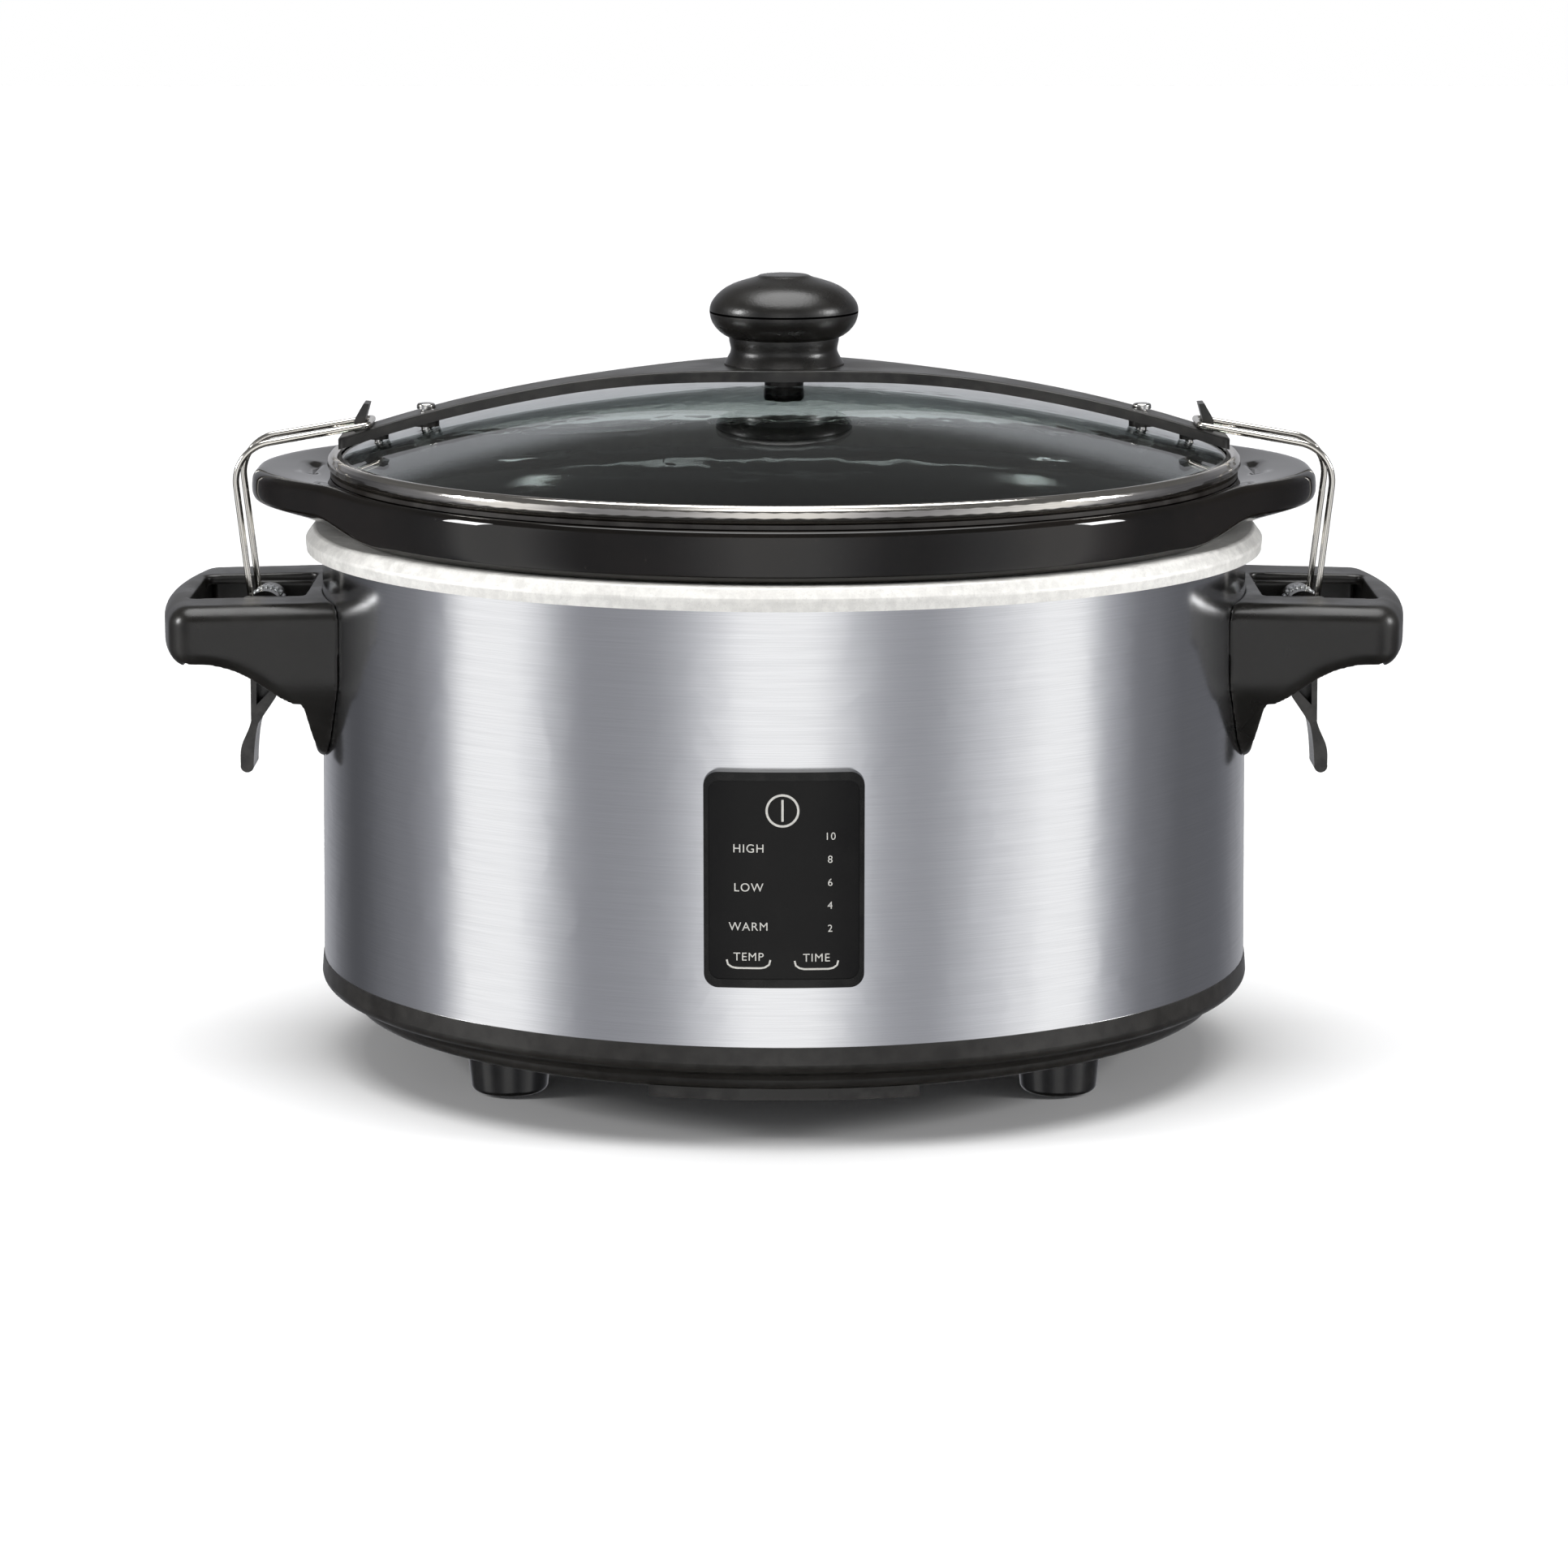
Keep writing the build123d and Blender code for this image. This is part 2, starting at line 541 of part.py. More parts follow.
def lid_bar():
    with BuildPart() as bar:
        with BuildSketch(Plane.XZ):
            with BuildLine():
                over = [(x, bar_z(x)) for x in (-BAR_END, 0, BAR_END)]
                under = [(x, z - BAR_THICK) for x, z in reversed(over)]
                ThreePointArc(*over)
                Line(over[-1], under[0])
                ThreePointArc(*under)
                Line(under[-1], over[0])
            make_face()
        extrude(amount=BAR_MIDDLE_WIDTH / 2, both=True)
        # seen from above it swells round the knob, and its ends have rounded corners
        with BuildSketch(Plane.XY.offset(200)) as plan:
            with BuildLine():
                half, middle = BAR_WIDTH / 2, BAR_MIDDLE_WIDTH / 2
                for side in (-1, 1):
                    Polyline((-BAR_SWELL, side * half), (-BAR_END - 5, side * half))
                    Spline((-BAR_SWELL, side * half), (0, side * middle), (BAR_SWELL, side * half),
                           tangents=((1, 0), (1, 0)))
                    Polyline((BAR_SWELL, side * half), (BAR_END + 5, side * half))
                    Line((side * (BAR_END + 5), -half), (side * (BAR_END + 5), half))
            make_face()
        extrude(amount=60, mode=Mode.INTERSECT)
        corners = bar.edges().filter_by(Axis.Z).filter_by(lambda e: abs(e.center().X) > BAR_END - 1)
        fillet(corners, 3.0)
        fillet(bar.faces().sort_by(Axis.Z)[-1].edges(), 0.9)
        # seat for the knob, faced flat, and the hub that stands on the glass
        with BuildSketch(Plane.XY.offset(KNOB_SEAT_Z)):
            Circle(SEAT_R)
        extrude(amount=5, mode=Mode.SUBTRACT)
        with BuildSketch(Plane.XY.offset(GLASS_TOP_Z + 1.0)):
            Circle(HUB_UNDER_R)
        extrude(amount=BAR_TOP_Z - GLASS_TOP_Z - 3)
        for side in (-1, 1):
            for x, r, gap in ((POST_X, POST_R, WASHER), (HOOK_SCREW_X, 3.6, 0.1)):
                low = glass_z(x - r) + gap
                with BuildSketch(Plane.XY.offset(low)):
                    with Locations((side * x, 0)):
                        Circle(r)
                extrude(amount=bar_z(x) - 1.5 - low)
                with BuildSketch(Plane.XY.offset(low)):
                    with Locations((side * x, 0)):
                        Circle(r)
                extrude(amount=-4, mode=Mode.SUBTRACT)
            with BuildSketch(Plane.XZ):
                with BuildLine():
                    root = bar_z(HOOK_X)
                    prong = [(2.2, -1.5), (2.2, 3.6), (-1.2, 9.4), (-3.2, 9.2), (-1.8, 4.2), (-1.8, -1.5)]
                    Polyline(*[(side * (HOOK_X + x), root + z) for x, z in prong], close=True)
                make_face()
            extrude(amount=4.5, both=True)
        for x in (-POST_X, POST_X):
            with Locations((x, 0, 235)):
                Cylinder(2.15, 60, mode=Mode.SUBTRACT)
            with Locations((x, 0, SCREW_SEAT_Z)):
                Cylinder(3.6, 5, align=(Align.CENTER, Align.CENTER, Align.MIN), mode=Mode.SUBTRACT)
        for x in (-HOOK_SCREW_X, HOOK_SCREW_X):
            with Locations((x, 0, bar_z(x) - 1.2)):
                Cylinder(1.55, 20, align=(Align.CENTER, Align.CENTER, Align.MAX), mode=Mode.SUBTRACT)
        with Locations((0, 0, 245)):
            Cylinder(2.6, 60, mode=Mode.SUBTRACT)
    return bar.part


save(lid_bar(), "lid_bar")

with BuildPart() as bar_washers:
    for x, r in ((POST_X, POST_R), (-POST_X, POST_R), (0, HUB_UNDER_R)):
        crest = glass_z(max(abs(x) - r, 0))
        with BuildSketch(Plane.XY.offset(crest + 0.02)):
            with Locations((x, 0)):
                Circle(r)
                Circle(2.9, mode=Mode.SUBTRACT)
        extrude(amount=WASHER - 0.04)
save(bar_washers.part, "bar_washers")

POSTS = [(-POST_X, 0), (POST_X, 0)]
with BuildPart() as bar_screws:
    head_z = SCREW_SEAT_Z + 0.02
    shank_z = glass_z(POST_X) - GLASS_THICK - 5.5
    with BuildSketch(Plane.XY.offset(head_z)):
        with Locations(*POSTS):
            Circle(3.3)
    extrude(amount=1.9)
    fillet(bar_screws.edges().filter_by(GeomType.CIRCLE).group_by(Axis.Z)[-1], 0.9)
    with BuildSketch(Plane.XY.offset(shank_z)):
        with Locations(*POSTS):
            Circle(1.9)
    extrude(amount=head_z + 0.5 - shank_z)
    with BuildSketch(Plane.XY.offset(head_z + 1.1)):
        with Locations(*POSTS):
            Rectangle(8, 1.0, rotation=35)
    extrude(amount=2, mode=Mode.SUBTRACT)
save(bar_screws.part, "bar_screws")
with BuildPart() as bar_nuts:
    low = glass_z(POST_X + 4) - GLASS_THICK - 3.2
    with BuildSketch(Plane.XY.offset(low)):
        with Locations((-POST_X, 0), (POST_X, 0)):
            RegularPolygon(3.9, 6)
            Circle(1.92, mode=Mode.SUBTRACT)
    extrude(amount=3.0)
save(bar_nuts.part, "bar_nuts")
with BuildPart() as hook_screws:
    under = glass_z(HOOK_SCREW_X + 3) - GLASS_THICK - 0.25
    for x in (-HOOK_SCREW_X, HOOK_SCREW_X):
        with Locations((x, 0, under)):
            Cylinder(2.9, 1.8, align=(Align.CENTER, Align.CENTER, Align.MAX))
            Cylinder(1.45, 8.5, align=(Align.CENTER, Align.CENTER, Align.MIN))
save(hook_screws.part, "hook_screws")

KNOB_SEAM_Z = 266.0
KNOB_NECK = 13.4          # middle of the body's rounded underside
with BuildPart() as knob_body:
    with BuildSketch(Plane.XZ):
        with BuildLine():
            base_z = KNOB_SEAT_Z + 0.02
            Polyline((3.0, base_z), (21.1, base_z), (21.1, base_z + 0.6))
            neck = EllipticalCenterArc((KNOB_NECK, KNOB_SEAM_Z), 26.2 - KNOB_NECK, 10.2, -62, arc_size=62)
            Spline((21.1, base_z + 0.6), (18.8, 252.6), neck @ 0, tangents=((-0.6, 1), (0, 1)))
            Polyline((26.2, KNOB_SEAM_Z), (23.0, KNOB_SEAM_Z), (21.8, 262.6), (8.0, 262.6),
                     (8.0, KNOB_SEAM_Z), (3.0, KNOB_SEAM_Z), (3.0, base_z))
        make_face()
    revolve(axis=Axis.Z)
save(knob_body.part, "knob_body")
with BuildPart() as knob_cap:
    with BuildSketch(Plane.XZ):
        with BuildLine():
            rise = KNOB_TOP_Z - KNOB_SEAM_Z - 0.05
            turns = [math.radians(degrees) for degrees in (0, 22, 45, 68, 90)]
            dome = [(26.25 * math.cos(a), KNOB_SEAM_Z + 0.05 + rise * math.sin(a)) for a in turns]
            Spline(*dome[:-1], (0, KNOB_TOP_Z), tangents=((0, 1), (-1, 0)))
            Polyline((0, KNOB_TOP_Z), (0, KNOB_TOP_Z - 3), (15.0, 273.6), (20.6, 270.6),
                     (23.2, KNOB_SEAM_Z + 2.0), (23.2, KNOB_SEAM_Z + 0.05), (26.25, KNOB_SEAM_Z + 0.05))
        make_face()
    revolve(axis=Axis.Z)
save(knob_cap.part, "knob_cap")
with BuildPart() as knob_screw:
    under = GLASS_TOP_Z - GLASS_THICK
    with Locations((0, 0, under - 0.25)):
        Cylinder(7.2, 3.4, align=(Align.CENTER, Align.CENTER, Align.MAX))
        Cylinder(2.4, 27, align=(Align.CENTER, Align.CENTER, Align.MIN))
    with Locations((0, 0, under - 3.65)):
        Box(16, 1.8, 1.4, align=(Align.CENTER, Align.CENTER, Align.MIN), mode=Mode.SUBTRACT)
save(knob_screw.part, "knob_screw")

# ---- handles, latch levers and wire bails: the left ones, then their mirror images ---------------
BAR_IN = 209.0            # inner face of the grip bar
WEB_IN = 168.4            # inner face of the plate against the shell
SKIN_Z = 164.4
EAR_Y = 17.0
HANDLE_LOW_Z = 110.8
TAPER_Z = 145.0           # below this the handle narrows to a shield shape
END_ROUND = 7.0
LEVER_Y = 9.5
PADDLE_Y = 8.0


def handle():
    with BuildPart() as grip:
        with BuildSketch(Plane.XZ):
            with BuildLine():
                Polyline((-150, 169.3), (-204, HANDLE_TOP_Z), (-GRIP_TIP, HANDLE_TOP_Z - 0.2))
                Polyline((-GRIP_TIP, HANDLE_TOP_Z - 0.2), (-GRIP_TIP, 146.3), (-204.6, 146.3))
                Spline((-204.6, 146.3), (-185.3, 140.7), (-172.3, 129.0), (-166.2, 113.0),
                       tangents=((1, 0), (0.3, -1)))
                Polyline((-166.2, 113.0), (-164.8, HANDLE_LOW_Z), (-150, HANDLE_LOW_Z), (-150, 169.3))
            make_face()
        extrude(amount=HANDLE_Y, both=True)
        # bowed end and rounded corners seen from above, and a shield shape seen from the side
        with BuildSketch(Plane.XY.offset(100)) as plan:
            with BuildLine():
                ThreePointArc((-GRIP_CORNER, -HANDLE_Y), (-GRIP_TIP, 0), (-GRIP_CORNER, HANDLE_Y))
                Polyline((-GRIP_CORNER, HANDLE_Y), (-140, HANDLE_Y), (-140, -HANDLE_Y),
                         (-GRIP_CORNER, -HANDLE_Y))
            make_face()
            fillet(plan.vertices().group_by(Axis.X)[0], 9.0)
        extrude(amount=90, mode=Mode.INTERSECT)
        with BuildSketch(Plane.YZ.offset(-230)):
            with BuildLine():
                Spline((-HANDLE_Y, TAPER_Z), (-43.8, 131), (-38, 119.7), (-25, HANDLE_LOW_Z),
                       tangents=((0, -1), (1, -0.35)))
                Polyline((-25, HANDLE_LOW_Z), (25, HANDLE_LOW_Z))
                Spline((25, HANDLE_LOW_Z), (38, 119.7), (43.8, 131), (HANDLE_Y, TAPER_Z),
                       tangents=((1, 0.35), (0, 1)))
                Polyline((HANDLE_Y, TAPER_Z), (HANDLE_Y, 175), (-HANDLE_Y, 175), (-HANDLE_Y, TAPER_Z))
            make_face()
        extrude(amount=100, mode=Mode.INTERSECT)
        end_edges = grip.edges().filter_by(lambda e: e.center().X < -206)
        fillet(end_edges.group_by(Axis.Z)[-1] + end_edges.group_by(Axis.Z)[0], END_ROUND)
        # hollow from below, leaving side walls, a top skin, the grip bar and the plate on the shell
        with BuildSketch(Plane.XZ):
            with BuildLine():
                Polyline((-BAR_IN, SKIN_Z), (-BAR_IN, 100), (-WEB_IN + 3.5, 100), (-WEB_IN + 3.5, 118),
                         (-WEB_IN, 136), (-WEB_IN, SKIN_Z), close=True)
            make_face()
        extrude(amount=HANDLE_Y - 3.6, both=True, mode=Mode.SUBTRACT)
        with BuildSketch(Plane.XY.offset(SKIN_Z - 1)):
            with Locations((-(BAR_IN + WEB_IN) / 2, -1)):
                RectangleRounded(BAR_IN - WEB_IN, 50, 3)
        extrude(amount=20, mode=Mode.SUBTRACT)
        # two ears that carry the lever's pin, hung from the plate on the shell
        for side in (-1, 1):
            with BuildSketch(Plane.XZ.offset(-side * EAR_Y - 1.4)):
                with BuildLine():
                    Polyline((-191, 167.2), (-191, 157), (-184, 152), (-166, 146), (-166, 167.2),
                             close=True)
                make_face()
            extrude(amount=2.8)
        with BuildSketch(Plane.XZ):
            with Locations(LEVER_PIVOT):
                Circle(PIN_R + 0.02)
        extrude(amount=24, both=True, mode=Mode.SUBTRACT)
        # screw bosses, then the seat that follows the shell
        with BuildSketch(Plane.YZ.offset(-172)):
            with Locations(*HANDLE_SCREWS):
                Circle(5)
        extrude(amount=14)
        with BuildSketch(Plane.YZ.offset(-169.5)):
            with Locations(*HANDLE_SCREWS):
                Circle(1.8)
        extrude(amount=20, mode=Mode.SUBTRACT)
        inside = turned((0, LIP_Z), (SHELL_LOW + 0.05, LIP_Z), (SHELL_HIGH + 0.05, RIM_Z), (0, RIM_Z))
        add(inside, mode=Mode.SUBTRACT)
    return grip.part


def latch_lever():
    """Moulded lever: hub, open V-shaped arm and thumb paddle, with arc slots for the wire ends."""
    lx, lz = LEVER_PIVOT
    bx, bz = BAIL_PIVOT
    with BuildPart() as lever:
        with BuildSketch(Plane.XZ):
            with Locations((lx, lz)):
                Circle(HUB_R)
            with BuildLine():
                Polyline((lx - 5.6, lz - 2), (-190.0, 136), (-190.2, 121), (-187.9, 119.4), (-181.2, 129.2),
                         (-178.8, 136), (lx + 5.6, lz - 2), close=True)
            make_face()
        extrude(amount=LEVER_Y, both=True)
        # recess in each face of the arm, which leaves a web between them
        for side in (-1, 1):
            with BuildSketch(Plane.XZ.offset(side * LEVER_Y)):
                with BuildLine():
                    Polyline((-187.6, 150), (-188.1, 126.5), (-182.9, 132), (-181.2, 138), (-180.6, 150),
                             close=True)
                make_face()
            extrude(amount=-side * (LEVER_Y - 1.5), mode=Mode.SUBTRACT)
        with BuildSketch(Plane.XZ):
            with BuildLine():
                Polyline((-190.2, 124), (-190.2, 121))
                Spline((-190.2, 121), (-194.0, 111), (-194.4, 104.6), tangents=((-0.2, -1), (0.05, -1)))
                ThreePointArc((-194.4, 104.6), (-192.2, 101.6), (-189.8, 104.4))
                Spline((-189.8, 104.4), (-189.2, 112), (-187.6, 120), tangents=((0.05, 1), (0.35, 1)))
                Line((-187.6, 120), (-190.2, 124))
            make_face()
        extrude(amount=PADDLE_Y, both=True)
        with BuildSketch(Plane.XZ):
            with Locations((lx, lz)):
                Circle(PIN_R + 0.05)
        extrude(amount=12, both=True, mode=Mode.SUBTRACT)
        # arc slots, centred on the pin, that the wire ends stay in while the lever turns
        reach = math.hypot(bx - lx, bz - lz)
        start = math.degrees(math.atan2(bz - lz, bx - lx))
        for side in (-1, 1):
            with BuildSketch(Plane.XZ.offset(-side * 6.9 - 2.9)):
                with BuildLine():
                    track = CenterArc((lx, lz), reach, start, LEVER_SWING + 1, mode=Mode.PRIVATE)
                    offset(track, amount=WIRE_R + 0.35, side=Side.BOTH)
                make_face()
            extrude(amount=5.8, mode=Mode.SUBTRACT)
    return lever.part


def wire_bail():
    """One bent wire: an inturned end, a leg up round the lug, the crosspiece, and back down."""
    bx, bz = BAIL_PIVOT
    cross = (-146.3, bar_z(146.3) + WIRE_R + CLEARANCE)
    side = [(bx, 5.6, bz), (bx, 12.0, bz), (-194.4, 12.0, 218.6), (cross[0], 10.4, cross[1])]
    points = side + [(x, -y, z) for x, y, z in reversed(side)]
    with BuildPart() as bail:
        with BuildLine():
            wire = FilletPolyline(*points, radius=(1.9, 14.0, 3.0, 3.0, 14.0, 1.9))
        with BuildSketch(Plane(wire @ 0, z_dir=wire % 0)):
            Circle(WIRE_R)
        sweep(path=wire)
    return bail.part


for name, left in (("handle", handle()), ("latch_lever", latch_lever()), ("wire_bail", wire_bail())):
    for side, piece in zip(("left", "right"), both_sides(left)):
        save(piece, f"{name}_{side}")

with BuildPart() as latch_pins:
    with BuildSketch(Plane.XZ):
        with Locations(LEVER_PIVOT, (-LEVER_PIVOT[0], LEVER_PIVOT[1])):
            Circle(PIN_R)
    extrude(amount=EAR_Y + 2.2, both=True)
save(latch_pins.part, "latch_pins")

# stiffening plates inside the shell and the screws that hold the handles through them
with BuildPart() as handle_plates:
    low, high = [shell_half_axis(z) - SHELL_SHEET - 0.02 for z in (140, 164)]
    add(turned((low - 1.48, 140), (low, 140), (high, 164), (high - 1.48, 164)))
    with Locations((-155, 0, 152), (155, 0, 152)):
        Box(40, 84, 30, mode=Mode.INTERSECT)
    with BuildSketch(Plane.YZ.offset(-180)):
        with Locations(*HANDLE_SCREWS):
            Circle(2.1)
    extrude(amount=360, mode=Mode.SUBTRACT)
save(handle_plates.part, "handle_plates")
with BuildPart() as handle_screws:
    for side in (-1, 1):
        for y, z in HANDLE_SCREWS:
            seat = oval_x(shell_half_axis(z) - SHELL_SHEET - 1.55, abs(y) + 4.2) - 0.1
            turn = Location((side * seat, y, z), (0, side * 90, 0))
            with Locations(turn):
                Cylinder(4.0, 2.2, align=(Align.CENTER, Align.CENTER, Align.MAX))
                Cylinder(1.75, 13.4, align=(Align.CENTER, Align.CENTER, Align.MIN))
save(handle_screws.part, "handle_screws")
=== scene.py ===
"""Looks of an oval slow cooker with a wire-latched glass lid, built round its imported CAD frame."""

import math

import bmesh
import bpy
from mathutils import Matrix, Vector


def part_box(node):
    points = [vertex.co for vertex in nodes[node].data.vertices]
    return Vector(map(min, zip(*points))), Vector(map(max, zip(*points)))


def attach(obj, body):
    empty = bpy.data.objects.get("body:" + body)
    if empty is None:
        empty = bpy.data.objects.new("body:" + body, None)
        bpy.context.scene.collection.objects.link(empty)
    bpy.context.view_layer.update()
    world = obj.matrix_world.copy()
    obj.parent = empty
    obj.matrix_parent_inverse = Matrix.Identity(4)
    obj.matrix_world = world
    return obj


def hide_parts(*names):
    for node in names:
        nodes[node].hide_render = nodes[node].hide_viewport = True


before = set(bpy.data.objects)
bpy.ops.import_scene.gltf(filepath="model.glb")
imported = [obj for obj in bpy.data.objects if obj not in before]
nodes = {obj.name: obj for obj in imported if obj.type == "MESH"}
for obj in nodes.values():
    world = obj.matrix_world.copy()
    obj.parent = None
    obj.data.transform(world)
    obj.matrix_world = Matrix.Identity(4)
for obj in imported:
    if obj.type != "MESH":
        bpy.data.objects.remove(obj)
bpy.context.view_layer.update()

# ---- camera -------------------------------------------------------------------------------------
# A long lens stands in front of the cooker and a little above it, looking down at the lid.
LENS_MM = 104.16
CAMERA_BACK = 1.5974
CAMERA_HEIGHT = 0.4361
LOOK_DOWN_DEG = 12.03

camera_data = bpy.data.cameras.new("camera")
camera_data.lens = LENS_MM
camera_data.sensor_width = 36.0
camera = bpy.data.objects.new("camera", camera_data)
camera.location = (0.0, -CAMERA_BACK, CAMERA_HEIGHT)
camera.rotation_euler = (math.radians(90.0 - LOOK_DOWN_DEG), 0.0, 0.0)
bpy.context.scene.collection.objects.link(camera)
bpy.context.scene.camera = camera
bpy.context.scene.view_settings.view_transform = "Standard"

# ---- studio -------------------------------------------------------------------------------------
# A tent of pale and dark cards stands round the cooker, with a dim strip above the cards, a bright
# panel overhead and a dark one below. Each card is a bearing from the front, left negative, and a
# brightness, so that the oval shell shows one soft band for each card.
CARDS = [(-180, 0.55), (-150, 0.30), (-130, 0.09), (-105, 0.17), (-92, 0.24), (-83, 0.46), (-75, 1.12),
         (-65, 1.12), (-55, 0.72), (-47, 0.35), (-39, 0.29), (-25, 0.38), (-18.5, 0.58), (-12, 0.84),
         (-6, 1.06), (1, 1.12), (7, 0.97), (13.5, 0.68), (20, 0.43), (26, 0.35), (33, 0.36), (41, 0.54),
         (49, 0.73), (57, 0.92), (67, 1.14), (76, 0.55), (86, 0.24), (98, 0.16), (111, 0.12),
         (141, 0.20), (180, 0.55)]
STRIP_BRIGHTNESS = 0.13
ROOF_BRIGHTNESS = 4.6
PIT_BRIGHTNESS = 0.04


def add_node(tree, kind, **values):
    """Add a shader node. A name that is one of its settings is set, and any other is an input."""
    made = tree.nodes.new(kind)
    for name, value in values.items():
        if hasattr(made, name):
            setattr(made, name, value)
        else:
            made.inputs[name.replace("_", " ")].default_value = value
    return made


def calc(tree, operation, a, b=0.0, clamp=False):
    """A Math node on two values, each a socket or a number, and its result."""
    made = tree.nodes.new("ShaderNodeMath")
    made.operation = operation
    made.use_clamp = clamp
    for slot, value in zip(made.inputs, (a, b)):
        if isinstance(value, (int, float)):
            slot.default_value = value
        else:
            tree.links.new(value, slot)
    return made.outputs[0]


def fade(tree, value, start, end, low=0.0, high=1.0):
    """Carry a value smoothly from low to high while it goes from start to end."""
    made = add_node(tree, "ShaderNodeMapRange", interpolation_type="SMOOTHSTEP",
                    From_Min=start, From_Max=end, To_Min=low, To_Max=high)
    tree.links.new(value, made.inputs["Value"])
    return made.outputs[0]


def blend_colour(tree, share, a, b):
    """Mix two colours, each a socket or three numbers, by a share."""
    made = add_node(tree, "ShaderNodeMix", data_type="RGBA")
    for slot, value in ((made.inputs["Factor"], share), (made.inputs["A"], a), (made.inputs["B"], b)):
        if isinstance(value, (int, float)):
            slot.default_value = value
        elif isinstance(value, tuple):
            slot.default_value = (*value, 1.0)
        else:
            tree.links.new(value, slot)
    return made.outputs["Result"]


def grey(brightness):
    return (brightness, brightness, brightness)


world = bpy.data.worlds.new("studio")
bpy.context.scene.world = world
world.use_nodes = True
tent = world.node_tree
tent.nodes.clear()
direction = add_node(tent, "ShaderNodeTexCoord")
split = add_node(tent, "ShaderNodeSeparateXYZ")
tent.links.new(direction.outputs["Generated"], split.inputs[0])
bearing = calc(tent, "ARCTAN2", split.outputs["X"], calc(tent, "MULTIPLY", split.outputs["Y"], -1.0))
turn = calc(tent, "ADD", calc(tent, "DIVIDE", bearing, 2 * math.pi), 0.5)
cards = add_node(tent, "ShaderNodeValToRGB")
cards.color_ramp.interpolation = "CARDINAL"
stops = cards.color_ramp.elements
for number, (degrees, bright) in enumerate(CARDS):
    place = degrees / 360 + 0.5
    if number == 0:
        stop = stops[0]
    elif number == len(CARDS) - 1:
        stop = stops[-1]
    else:
        stop = stops.new(place)
    stop.position = place
    cool = 0.04 * max(0.0, 1.0 - bright)
    stop.color = (bright * (1 - cool), bright * (1 - cool / 2), bright * (1 + 2 * cool), 1.0)
tent.links.new(turn, cards.inputs[0])
height = split.outputs["Z"]
with_strip = blend_colour(tent, fade(tent, height, 0.36, 0.47), cards.outputs[0], grey(STRIP_BRIGHTNESS))
with_roof = blend_colour(tent, fade(tent, height, 0.86, 0.91), with_strip, grey(ROOF_BRIGHTNESS))
with_pit = blend_colour(tent, fade(tent, height, -0.5, -0.7), with_roof, grey(PIT_BRIGHTNESS))
seen_directly = add_node(tent, "ShaderNodeLightPath").outputs["Is Camera Ray"]
backdrop = blend_colour(tent, seen_directly, with_pit, grey(1.0))
sky = add_node(tent, "ShaderNodeBackground", Strength=1.0)
tent.links.new(backdrop, sky.inputs["Color"])
tent.links.new(sky.outputs[0], add_node(tent, "ShaderNodeOutputWorld").inputs["Surface"])

# Two soft boxes stand well out to the sides, and put the short bright streaks on glaze and chrome.
SOFTBOX_BEARING_DEG = 76
SOFTBOX_AWAY = 1.7
SOFTBOX_HEIGHT = 0.75
SOFTBOX_SIZE = (0.34, 0.5)
SOFTBOX_WATTS = 13.0
for side in (-1, 1):
    lamp = bpy.data.lights.new("soft_box", "AREA")
    lamp.shape = "RECTANGLE"
    lamp.size, lamp.size_y = SOFTBOX_SIZE
    lamp.energy = SOFTBOX_WATTS
    box = bpy.data.objects.new("soft_box", lamp)
    angle = math.radians(SOFTBOX_BEARING_DEG)
    box.location = (side * SOFTBOX_AWAY * math.sin(angle), -SOFTBOX_AWAY * math.cos(angle), SOFTBOX_HEIGHT)
    aim = Vector((0.0, 0.0, 0.15)) - box.location
    box.rotation_euler = aim.to_track_quat("-Z", "Y").to_euler()
    bpy.context.scene.collection.objects.link(box)

# The table is a matt white sheet. It takes the soft shadow, and gloss sees the tent through it.
FLOOR_HALF = 6.0
floor_mesh = bpy.data.meshes.new("floor")
floor_mesh.from_pydata([(x, y, 0.0) for x in (-FLOOR_HALF, FLOOR_HALF) for y in (-FLOOR_HALF, FLOOR_HALF)],
                       [], [(0, 2, 3, 1)])
floor = bpy.data.objects.new("floor", floor_mesh)
bpy.context.scene.collection.objects.link(floor)
floor.visible_glossy = False
floor_material = bpy.data.materials.new("floor")
floor_material.use_nodes = True
floor_shader = floor_material.node_tree.nodes["Principled BSDF"]
floor_shader.inputs["Base Color"].default_value = (0.93, 0.93, 0.93, 1.0)
floor_shader.inputs["Roughness"].default_value = 0.9
floor_shader.inputs["Specular IOR Level"].default_value = 0.0
floor_mesh.materials.append(floor_material)

# ---- outer shell --------------------------------------------------------------------------------
# The wrap is stainless sheet, brushed along its length before it is rolled into the oval, so its
# fine scratches run level round the cooker. It drops over the base's lip and is held by the well.
def new_group(name, inputs, outputs):
    """A shader node group with named number inputs and value, colour or vector outputs."""
    group = bpy.data.node_groups.new(name, "ShaderNodeTree")
    for label, value in inputs.items():
        socket = group.interface.new_socket(label, in_out="INPUT", socket_type="NodeSocketFloat")
        socket.default_value = value
    for label, kind in outputs.items():
        group.interface.new_socket(label, in_out="OUTPUT", socket_type="NodeSocket" + kind)
    start = group.nodes.new("NodeGroupInput")
    end = group.nodes.new("NodeGroupOutput")
    return group, start.outputs, end.inputs


def use_group(tree, group, **values):
    """Place a group in a material with its own values, and give back its outputs."""
    placed = tree.nodes.new("ShaderNodeGroup")
    placed.node_tree = group
    for name, value in values.items():
        placed.inputs[name.replace("_", " ")].default_value = value
    return placed.outputs


